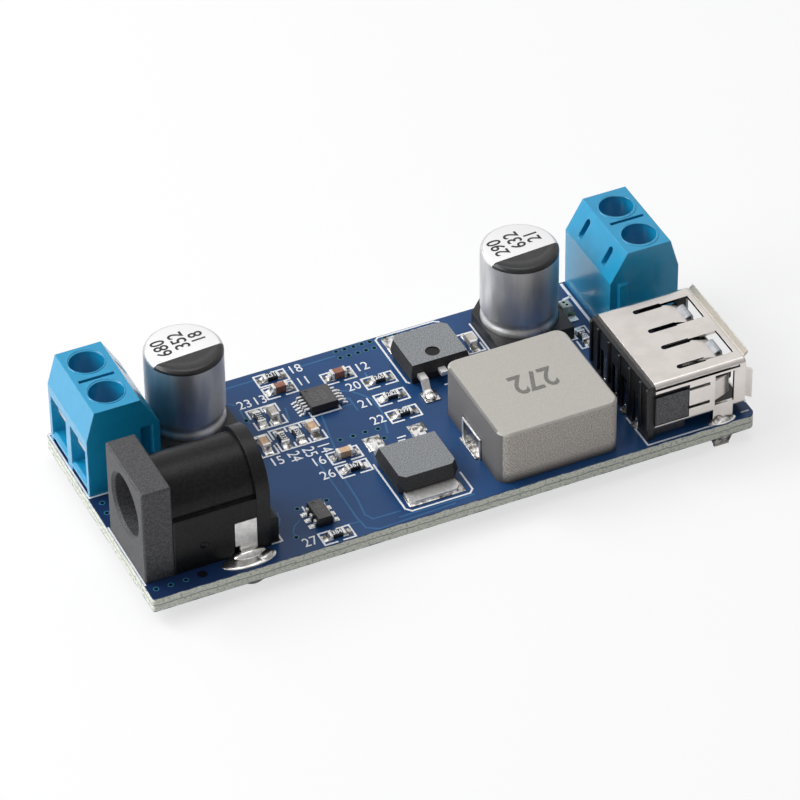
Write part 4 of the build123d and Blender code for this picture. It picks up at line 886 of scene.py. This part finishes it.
# %% Numbers
FIRST_NUMBER = 11
NUMBER_SIZE = 1.8
NUMBER_GAP = 1.1
BACK_ROW_START_Y = 22
REAR_GROUP_START_Y = 19
numbers = bmesh.new()
for count, name in enumerate(small_parts, start=FIRST_NUMBER):
    place, size, along_x = chip_place(name)
    at = (place.translation - spot(0, 0)) / MM
    sideways = BRACKET_LENGTH / 2 + NUMBER_GAP
    in_group = GROUP_LOW_X < at.x < GROUP_HIGH_X
    if along_x and at.y > BACK_ROW_START_Y:
        place = board_place(at.x + sideways, at.y + 0.3)
    elif along_x:
        place = board_place(at.x - sideways, at.y + 0.2)
    elif in_group and at.y < REAR_GROUP_START_Y:
        place = board_place(at.x, at.y - sideways - 0.15, 0, -math.pi / 2)
    elif in_group:
        place = board_place(at.x - 0.4 + 0.2 * (at.x > 21), at.y + sideways)
    else:
        place = board_place(at.x + 0.2, at.y - sideways)
    add_number(numbers, str(count), NUMBER_SIZE, place)
new_piece("printed_numbers", numbers, white_ink)

# %% [markdown]
# ## Pads, solder and end caps of the small chips
# A chip part is soldered by its two tinned ends. Each end sits on a pad, and the molten solder
# climbed it and set as a hollow slope. The slope is drawn once as an outline, along the chip, and
# made as wide as the chip. The tinned caps wrap the ends. Resistors carry a printed value on their
# dark top, here again a plain number.

# %% Small chips
PAD_REACH = 0.78
PAD_WIDTH = 0.95
PAD_HEIGHT = 0.03
PAD_TUCK = 0.3
FILLET_REACH = 0.62
FILLET_STEPS = 6
CLIMB_SHARE = 0.72
HOLLOWNESS = 2.2
CAP_LENGTH = 0.28
CAP_SKIN = 0.02
FIRST_CODE, CODE_STEP = 112, 17
half_turn = Matrix.Rotation(math.pi, 4, "Z")


def hollow_slope(start, reach, top):
    """The outline of solder that climbed an upright end: steep above and flat at its foot."""
    shares = [step / FILLET_STEPS for step in range(FILLET_STEPS, -1, -1)]
    curve = [(start + reach * share, PAD_HEIGHT + top * (1 - share) ** HOLLOWNESS)
             for share in shares]
    return [(start - 0.05, 0), (start + reach, 0), *curve, (start - 0.05, PAD_HEIGHT + top)]


pads, slopes, end_caps, codes = bmesh.new(), bmesh.new(), bmesh.new(), bmesh.new()
for count, name in enumerate(small_parts):
    place, size, along_x = chip_place(name)
    for end in (place, place @ half_turn):
        add_block(pads, end, (size.x / 2 + (PAD_REACH - PAD_TUCK) / 2, 0, PAD_HEIGHT / 2),
                  (PAD_REACH + PAD_TUCK, PAD_WIDTH, PAD_HEIGHT))
        add_bar(slopes, end, hollow_slope(size.x / 2, FILLET_REACH, CLIMB_SHARE * size.z), size.y)
        add_block(end_caps, end,
                  (size.x / 2 - CAP_LENGTH / 2 + CAP_SKIN, 0, (size.z + CAP_SKIN) / 2),
                  (CAP_LENGTH, size.y + 2 * CAP_SKIN, size.z + CAP_SKIN), round_by=0.04)
    if name.startswith("resistor"):
        face = board_place(*((place.translation - spot(0, 0)) / MM).xy, size.z,
                           0 if along_x else -math.pi / 2)
        add_number(codes, str(FIRST_CODE + CODE_STEP * count), 0.84, face, thickness=0.01,
                   boldness=0.015, narrow=0.82)
new_piece("chip_pads", pads, solder)
new_piece("chip_solder", slopes, solder)
new_piece("chip_end_caps", end_caps, tin)
new_piece("resistor_codes", codes, white_ink)

# %% [markdown]
# ## Three forms of solder
# A shallow pool of solder is a flat block with well rounded edges, a lump or puddle is a squashed
# ball, and the hollow cone round a pin is a turned profile. All of them gather in one bmesh.

# %% Solder shapes
POOL_HEIGHT = 0.16
CONE_STEPS = 6
pools = bmesh.new()


def add_pool(x0, y0, x1, y1, height=POOL_HEIGHT):
    """A shallow pool of solder between two corners on the board."""
    add_block(pools, board_place((x0 + x1) / 2, (y0 + y1) / 2), (0, 0, height / 2 - 0.02),
              (x1 - x0, y1 - y0, height), round_by=0.42 * height)


def add_puddle(x, y, z, length, width, height, turn=0.0, bm=pools):
    """A rounded mass of solder, half sunk, round a point."""
    shape = board_place(x, y, z, turn) @ Matrix.Diagonal((length / 2, width / 2, height, 1))
    bmesh.ops.create_uvsphere(bm, u_segments=32, v_segments=16, radius=1, matrix=shape)


def add_cone(x, y, radius, height, top_radius):
    """A hollow cone of solder round a pin."""
    shares = [step / CONE_STEPS for step in range(CONE_STEPS + 1)]
    slope = [(top_radius + (radius - top_radius) * (1 - share) ** HOLLOWNESS, height * share)
             for share in shares]
    add_turned(pools, board_place(x, y), [(0.05, 0), *slope, (0.05, height)], steps=24)


# %% [markdown]
# ## Solder at the transistors
# The two power transistors stand with their tab on a wide tinned pad, which also carries their heat
# away, and each lead has a pad of its own. The solder there is a shallow pool with a rounded rim,
# and on it a lump at each lead.

# %% Solder at the transistors
LEAD_POOLS = {
    "low_side": ((27.75, 11.0, 29.65, 13.2), (32.6, 11.7, 34.35, 13.1)),
    "high_side": ((36.0, 15.55, 37.6, 17.3), (40.6, 15.55, 42.2, 17.3)),
}
# Each lump or puddle: its place along, across and up, then its length, width and height.
LEAD_LUMPS = {
    "low_side": ((28.75, 12.2, 0.05, 1.6, 1.7, 0.3), (33.4, 12.3, 0.05, 1.5, 1.3, 0.3)),
    "high_side": ((36.8, 16.3, 0.05, 1.3, 1.4, 0.5), (41.4, 16.3, 0.05, 1.3, 1.4, 0.5)),
}
low, high = board_box("low_side_transistor_body")
add_pool(low.x + 0.4, low.y - 1.6, high.x - 0.2, low.y + 0.3)
for corners in LEAD_POOLS["low_side"]:
    add_pool(*corners)
for lump in LEAD_LUMPS["low_side"]:
    add_puddle(*lump)
add_puddle(29.3, low.y - 1.1, 0.1, 1.6, 0.7, 0.22)
add_puddle(32.2, low.y - 1.2, 0.1, 1.9, 0.6, 0.2)
low, high = board_box("high_side_transistor_body")
add_pool(low.x + 0.3, high.y - 0.3, high.x - 0.2, high.y + 2.35)
for corners in LEAD_POOLS["high_side"]:
    add_pool(*corners)
for lump in LEAD_LUMPS["high_side"]:
    add_puddle(*lump)
print("solder at the transistors:", len(pools.faces), "faces")

# %% [markdown]
# ## Solder at the jack, the block and the pins
# The jack's side tab stands in a large puddle with a slope up to the tab, and sticks through the
# board into a ball of solder below. Pins of the USB socket have a hollow cone, and the ends of the
# block's clips and of the cans' leads lie in pools. The clips are painted dark, a painted shade, and
# have bright rounded rims of plain tin where the sheet was bent.

# %% Jack, clips and pins
# As for the lumps, with a turn at the end. The last one hangs below the board.
JACK_SOLDER = (
    (10.6, 1.5, 0.0, 5.7, 2.4, 0.24, 0.0),
    (10.95, 2.1, 0.0, 3.6, 1.5, 0.75, 0.0),
    (12.2, 1.4, 0.0, 1.9, 1.5, 0.36, 0.4),
    (10.9, 1.5, -BOARD_THICKNESS, 3.0, 2.4, 1.25, 0.0),
)
CLIP_RIM_WIDTH = 0.26
CLIP_RIM_DEPTH = 0.2
USB_PIN_ROWS = (3.6, 6.1, 8.1, 10.6)
jack_puddle = bmesh.new()
for mass in JACK_SOLDER:
    add_puddle(*mass, bm=jack_puddle)
new_piece("jack_puddle", jack_puddle, smooth_solder, smooth=True)
low, high = board_box("inductor_terminals")
add_pool(low.x - 0.55, low.y + 0.2, low.x + 0.5, high.y - 0.2)
add_pool(high.x - 0.5, low.y + 0.2, high.x + 0.55, high.y - 0.2)
clip_rims = bmesh.new()
for x, out in ((low.x, -1), (high.x, 1)):
    place = board_place(x + out * 0.08, 0)
    for y in (low.y + CLIP_RIM_WIDTH / 2, high.y - CLIP_RIM_WIDTH / 2):
        add_block(clip_rims, place, (0, y, high.z / 2), (CLIP_RIM_DEPTH, CLIP_RIM_WIDTH, high.z),
                  round_by=0.06)
    add_block(clip_rims, place, (0, (low.y + high.y) / 2, high.z - CLIP_RIM_WIDTH / 2),
              (CLIP_RIM_DEPTH, high.y - low.y, CLIP_RIM_WIDTH), round_by=0.06)
new_piece("clip_rims", clip_rims, tin, smooth=True)
low, high = board_box("usb_contacts")
for y in USB_PIN_ROWS:
    add_cone(low.x + 0.2, y, radius=0.8, height=0.85, top_radius=0.28)
for name in ("input_capacitor_base", "output_capacitor_base"):
    low, high = board_box(name)
    x = (low.x + high.x) / 2
    for y in (low.y - 0.3, high.y + 0.3):
        add_pool(x - 0.7, y - 0.45, x + 0.7, min(y + 0.45, board_size.y - 0.1), 0.2)
new_piece("board_solder", pools, solder, smooth=True)

# %% [markdown]
# ## Pads under the fine leads
# Each lead of a small chip ends on a pad of its own, a little wider than the lead. They are counted
# out from the middle of the chip at the spacing of its leads. The lamp stands on two larger ones.

# %% Lead pads
LEAD_PAD_LENGTH = 0.6
LEAD_PAD_HEIGHT = 0.04
LAMP_PAD_SIZE = (1.3, 0.9, 0.1)
lead_pads = bmesh.new()


def add_lead_pads(node, count, pitch, width):
    """A pad with a bead of solder under each lead of a chip, both rows along Y."""
    low, high = board_box(node)
    middle = (low.y + high.y) / 2
    for index in range(count):
        y = middle + (index - (count - 1) / 2) * pitch
        for x in (low.x + 0.1, high.x - 0.1):
            add_block(lead_pads, board_place(x, y), (0, 0, LEAD_PAD_HEIGHT / 2),
                      (LEAD_PAD_LENGTH, width, LEAD_PAD_HEIGHT), round_by=0.012)


add_lead_pads("controller_leads", 5, 0.5, 0.24)
add_lead_pads("charging_chip_leads", 3, 0.95, 0.55)
low, high = board_box("lamp_base")
for y in (low.y - 0.35, high.y + 0.35):
    add_block(lead_pads, board_place((low.x + high.x) / 2, y), (0, 0, LAMP_PAD_SIZE[2] / 2),
              LAMP_PAD_SIZE, round_by=0.04)
new_piece("lead_pads", lead_pads, tin)

# %% [markdown]
# ## Under the board
# Pins and legs pass through the board and are soldered below, each in a tinned ring. The model's
# solder is one solid with many separate bodies, so they are first told apart by where they lie.

# %% Rings under the board
JOINT_REACH = 1.7
RING_LIP = 0.3
RING_MARGIN = 0.1
RING_HEIGHT = 0.03


def islands(node, reach):
    """Middle and width of a node's separate bodies, seen from above, in board millimetres."""
    groups = []
    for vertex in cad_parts[node].data.vertices:
        at = (vertex.co - spot(0, 0)) / MM
        near = next((group for group in groups if (group[0] - at).xy.length < reach), None)
        if near is None:
            groups.append([at])
        else:
            near.append(at)
    middles = []
    for group in groups:
        xs, ys = [at.x for at in group], [at.y for at in group]
        middles.append(((min(xs) + max(xs)) / 2, (min(ys) + max(ys)) / 2, max(xs) - min(xs)))
    return middles


joints = islands("solder_joints", JOINT_REACH)
print("soldered pins and legs:", len(joints))
pin_pads = bmesh.new()
for x, y, width in joints:
    radius = min(width / 2 + RING_LIP, y - RING_MARGIN, board_size.y - y - RING_MARGIN)
    add_disc(pin_pads, board_place(x, y, -BOARD_THICKNESS - RING_HEIGHT), radius, RING_HEIGHT,
             sides=32)
new_piece("pin_pads", pin_pads, tin)

# %% [markdown]
# ## Tracks under the board
# Wide tracks join the rings of each end, from the front edge to the back. They are drawn as the
# copper edges on the top are, only wider and downwards.

# %% Tracks under the board
UNDER_TRACK_WIDTH = 1.1
TRACK_MARGIN = 0.9
TRACKED_ENDS = ((0, 20), (45, board_size.x))
tracks_below = bmesh.new()
for low_x, high_x in TRACKED_ENDS:
    row = sorted((y, x) for x, y, width in joints if low_x < x < high_x)
    inside = [(min(max(x, TRACK_MARGIN), board_size.x - TRACK_MARGIN),
               min(max(y, TRACK_MARGIN), board_size.y - TRACK_MARGIN)) for y, x in row]
    stroke(tracks_below, inside, UNDER_TRACK_WIDTH, -COPPER_HEIGHT, -BOARD_THICKNESS)
new_piece("tracks_below", tracks_below, over_copper)

# %% [markdown]
# ## The USB socket's spring fingers
# Each spring finger in the top plate ends in a narrower tip that is bent up and over, and lies
# bright in its window. It is drawn as the outline of bent sheet and made as wide as the strip. The
# slots beside a finger are dark with shade, and a thin dark film round each slot paints that shade
# wider, a painted shade on the metal.

# %% Finger tips and painted slot shade
USB_BACK_X = 53.8
SLOT_START_X = 57.33
SLOT_WIDTH = 0.35
SLOT_SHADE_WIDTH = 0.13
SLOT_SHADE_FILM = 0.01
USB_TOP = 7.0
FINGER_ROWS = (4.0, 10.2)
FINGER_WIDTH = 3.0
TIP_WIDTH = 1.9
SLOT_LENGTH = 2.7
TIP_OFFSET = Vector((7.75, 0, -0.5))
TIP_SHEET = ((-0.95, -0.18), (-0.6, -0.24), (0.35, 0.36), (0.62, 0.42), (0.82, 0.3), (0.9, 0.06),
             (0.86, -0.3), (0.68, -0.3), (0.7, 0.02), (0.6, 0.2), (0.4, 0.18), (-0.55, -0.42),
             (-0.95, -0.36))
finger_tips, slot_shade_films = bmesh.new(), bmesh.new()
for y in FINGER_ROWS:
    add_bar(finger_tips, board_place(USB_BACK_X + TIP_OFFSET.x, y, USB_TOP + TIP_OFFSET.z),
            TIP_SHEET, TIP_WIDTH)
    # Painted shade: a dark film round each slot makes the shade in it look wider.
    for side in (-1, 1):
        across = y + side * (FINGER_WIDTH / 2 + SLOT_WIDTH / 2)
        add_disc(slot_shade_films, board_place(SLOT_START_X, across, USB_TOP),
                 SLOT_WIDTH / 2 + SLOT_SHADE_WIDTH, SLOT_SHADE_FILM, sides=24)
        for edge in (-1, 1):
            beside = across + edge * (SLOT_WIDTH + SLOT_SHADE_WIDTH) / 2
            stroke(slot_shade_films, [(SLOT_START_X, beside), (SLOT_START_X + SLOT_LENGTH, beside)],
                   SLOT_SHADE_WIDTH, 1.2 * SLOT_SHADE_FILM, USB_TOP)
finger_finish = grained("finger_tip_metal", shade(146, 149, 154), shade(170, 173, 178), 0.55, 1800,
                        0.000004, 0.00005, metallic=0.2)
new_piece("finger_tips", finger_tips, finger_finish)
new_piece("slot_shade_films", slot_shade_films, via_dark)

# %% [markdown]
# ## The back of the USB socket
# On the back, the black insulator has upright ribs between its contact legs. They are blocks with
# rounded edges. The shell's legs stand in solder, made of two squashed balls each: a flat one on
# the board and a higher one that climbs the leg.

# %% Rear ribs and leg solder
RIB_ROWS = (0.95, 2.45, 4.85, 7.1, 9.35, 11.75, 13.25)
RIB_SIZE = (0.5, 0.42, 5.2)
RIB_MIDDLE_Z = 3.9
LEG_ROWS = ((0.6, -1), (13.6, 1))
ribs = bmesh.new()
low, high = board_box("usb_insulator")
for y in RIB_ROWS:
    add_block(ribs, board_place(low.x + 0.02, y, RIB_MIDDLE_Z), (0, 0, 0), RIB_SIZE, round_by=0.12)
new_piece("insulator_ribs", ribs, black_nylon, smooth=True)

leg_solder = bmesh.new()
for y, out in LEG_ROWS:
    add_puddle(USB_BACK_X + 7.55, y, 0.0, 3.1, 1.15, 0.5, bm=leg_solder)
    add_puddle(USB_BACK_X + 7.1, y + out * 0.1, 0.05, 1.3, 0.8, 0.75, bm=leg_solder)
new_piece("leg_solder", leg_solder, solder, smooth=True)

# %% [markdown]
# ## The cans
# An electrolytic capacitor is an aluminium can, drawn and then curled tightly over a rubber plug: a
# smooth neck above a bulging foot ring. The plain solid has the same form with straight facets, so
# a finely turned one takes its place. Its printed black segment and digits lie on the top. The
# segment is a thin turned sheet of the top's own form, cut off along its straight edge.

# %% Can shells and their print
CAN_RADIUS = 4.0
CAN_TOP = 10.2
CAN_FOOT = 1.0
EDGE_ROUNDING = 0.5
EDGE_STEPS = 7
TURNED_STEPS = 96
CAN_TURN = math.radians(3.3)
SEGMENT_OFFSET = 1.22
FILM = 0.012
SUNK = 0.05
DIGIT_ROWS = ((-1.95, 2.2), (0.1, 2.25), (1.95, 2.1))
edge_angles = [math.pi / 2 * step / EDGE_STEPS for step in range(EDGE_STEPS, -1, -1)]
rounded_edge = [(CAN_RADIUS - EDGE_ROUNDING + EDGE_ROUNDING * math.sin(angle),
                 CAN_TOP - EDGE_ROUNDING + EDGE_ROUNDING * math.cos(angle))
                for angle in edge_angles]
inner_film = [(radius - SUNK, z - SUNK) for radius, z in reversed(rounded_edge)]
outer_film = [(radius + FILM, z + FILM) for radius, z in rounded_edge]
NECK = [(3.9, CAN_FOOT), (3.97, 1.12), (4.0, 1.5), (3.99, 1.8), (3.93, 2.0), (3.8, 2.2), (3.72, 2.42),
        (3.76, 2.62), (3.88, 2.82), (3.97, 3.0), (4.0, 3.2)]
black_print = grained("black_print", shade(24, 24, 26), shade(38, 38, 40), 0.32,
                      5000, 0.000004, 0.00001)
for end, rows in (("input", ("680", "352", "18")), ("output", ("290", "632", "21"))):
    low, high = board_box(f"{end}_capacitor_can")
    axis_x, axis_y = (low.x + high.x) / 2, (low.y + high.y) / 2
    place = board_place(axis_x, axis_y, 0, CAN_TURN)
    shell = bmesh.new()
    add_turned(shell, place, [(0, CAN_FOOT), *NECK, *rounded_edge, (0, CAN_TOP)],
               steps=TURNED_STEPS)
    bmesh.ops.remove_doubles(shell, verts=shell.verts, dist=1e-6)
    piece = new_piece(f"{end}_can_shell", shell, aluminium, smooth=True)
    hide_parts(f"{end}_capacitor_can")

    segment = bmesh.new()
    add_turned(segment, place, [(0.5, CAN_TOP - SUNK), *inner_film, *outer_film,
                                (0.5, CAN_TOP + FILM)], steps=TURNED_STEPS)
    everything = segment.verts[:] + segment.edges[:] + segment.faces[:]
    cut = bmesh.ops.bisect_plane(segment, geom=everything, clear_outer=True,
                                 plane_co=place @ Vector((0, -SEGMENT_OFFSET, 0)),
                                 plane_no=place.to_3x3() @ Vector((0, 1, 0)))["geom_cut"]
    rim = [item for item in cut if isinstance(item, bmesh.types.BMEdge)]
    bmesh.ops.holes_fill(segment, edges=rim)
    new_piece(f"{end}_can_segment", segment, black_print, smooth=True)

    digits = bmesh.new()
    for row, (across, size) in zip(rows, DIGIT_ROWS):
        on_top = Matrix.Translation((across, 1.1 - 0.15 * abs(across), CAN_TOP))
        add_number(digits, row, size, place @ on_top @ Matrix.Rotation(math.pi / 2, 4, "Z"),
                   thickness=0.02, boldness=0.02, narrow=0.8)
    new_piece(f"{end}_can_digits", digits, black_print)

# %% [markdown]
# ## The number on the block
# The inductor's value, here a plain number, stands on its top, a shade darker than the powder round
# it.

# %% Block number
block_mark = grained("block_mark", shade(104, 102, 98), shade(128, 126, 121), 0.6,
                     5000, 0.00001, 0.00002)
marks = bmesh.new()
low, high = board_box("inductor_core")
add_number(marks, "272", 4.1, board_place(43.9, 7.7, high.z, math.pi), thickness=0.012,
           boldness=0.07, narrow=0.78)
new_piece("block_number", marks, block_mark)

# %% [markdown]
# ## Marks on the chips
# The two small chips carry faint laser-cut numbers, and the rear transistor has the dark round mark
# of the pin that pushed it out of its mould.

# %% Chip marks
EJECTOR_PLACE = (38.88, 20.32, 2.23)
EJECTOR_RADIUS = 0.73
faint_mark = grained("faint_mark", shade(96, 94, 94), shade(112, 110, 110), 0.5,
                     6000, 0.000006, 0.00001)
chip_marks = bmesh.new()
low, high = board_box("controller_body")
middle = (low + high) / 2
for shift in (-0.45, 0.45):
    add_number(chip_marks, "4207", 0.95, board_place(middle.x + shift, middle.y, high.z, math.pi / 2),
               thickness=0.006, boldness=0)
low, high = board_box("charging_chip_body")
middle = (low + high) / 2
add_number(chip_marks, "218", 0.9, board_place(middle.x, middle.y, high.z, math.pi / 2),
           thickness=0.006, boldness=0)
new_piece("chip_marks", chip_marks, faint_mark)
ejector_floor = bmesh.new()
add_disc(ejector_floor, board_place(*EJECTOR_PLACE), EJECTOR_RADIUS, 0.02, sides=40)
new_piece("ejector_mark", ejector_floor, cap_plastic)

# %% [markdown]
# ## Traces of the moulds
# The driver holes of the terminals have a fine raised rim from their mould, and the jack's side has
# the round trace of the gate where the plastic flowed in. Both are turned from a small profile.

# %% Rims and gate mark
HOLE_INSET = 3.3
HALF_PITCH = 2.54
GATE = ((0.0, 0.03), (0.2, 0.05), (0.26, 0.02), (0.34, 0.05), (0.4, 0.0), (0.0, -0.05))
RIM = ((1.81, -0.05), (1.81, 0.03), (1.87, 0.05), (1.96, 0.03), (2.0, -0.05))
rims = bmesh.new()
for end, from_face in (("input", 1), ("output", -1)):
    low, high = board_box(f"{end}_terminal_housing")
    x = low.x + HOLE_INSET if from_face > 0 else high.x - HOLE_INSET
    for side in (-1, 1):
        add_turned(rims, board_place(x, (low.y + high.y) / 2 + side * HALF_PITCH, high.z), RIM)
new_piece("driver_hole_rims", rims, terminal_blue, smooth=True)

gate = bmesh.new()
low, high = board_box("jack_housing")
outward = board_place(6.4, low.y, 2.63) @ Matrix.Rotation(math.pi / 2, 4, "X")
add_turned(gate, outward, GATE, steps=32)
new_piece("jack_gate_mark", gate, charcoal, smooth=True)

# %% [markdown]
# ## The lamp
# The indicator is a tiny chip under a clear moulded block. Through it show the dark chip and the
# bond wire's pad, so these lie on the lens as thin spots. Its green glints are painted as thin green
# strips on the carrier, a painted highlight.

# %% Lamp details
LAMP_SPOTS = ((0.05, -0.2, 0.14), (-0.1, 0.28, 0.16))
lamp_spots = bmesh.new()
low, high = board_box("lamp_lens")
middle = (low + high) / 2
for x, y, radius in LAMP_SPOTS:
    add_disc(lamp_spots, board_place(middle.x + x, middle.y + y, high.z), radius, 0.012)
new_piece("lamp_chip_spots", lamp_spots, via_dark)
# Painted highlight: the green strips stand in for the lamp's green glints.
lamp_green = grained("lamp_green", shade(60, 130, 84), shade(96, 168, 112), 0.3,
                     4000, 0.000004, 0.00001)
carrier = bmesh.new()
low, high = board_box("lamp_base")
middle = (low + high) / 2
for y in (low.y + 0.2, high.y - 0.2):
    add_block(carrier, board_place(middle.x + 0.25, y, high.z), (0, 0, 0.01), (0.4, 0.16, 0.02))
new_piece("lamp_painted_glints", carrier, lamp_green)
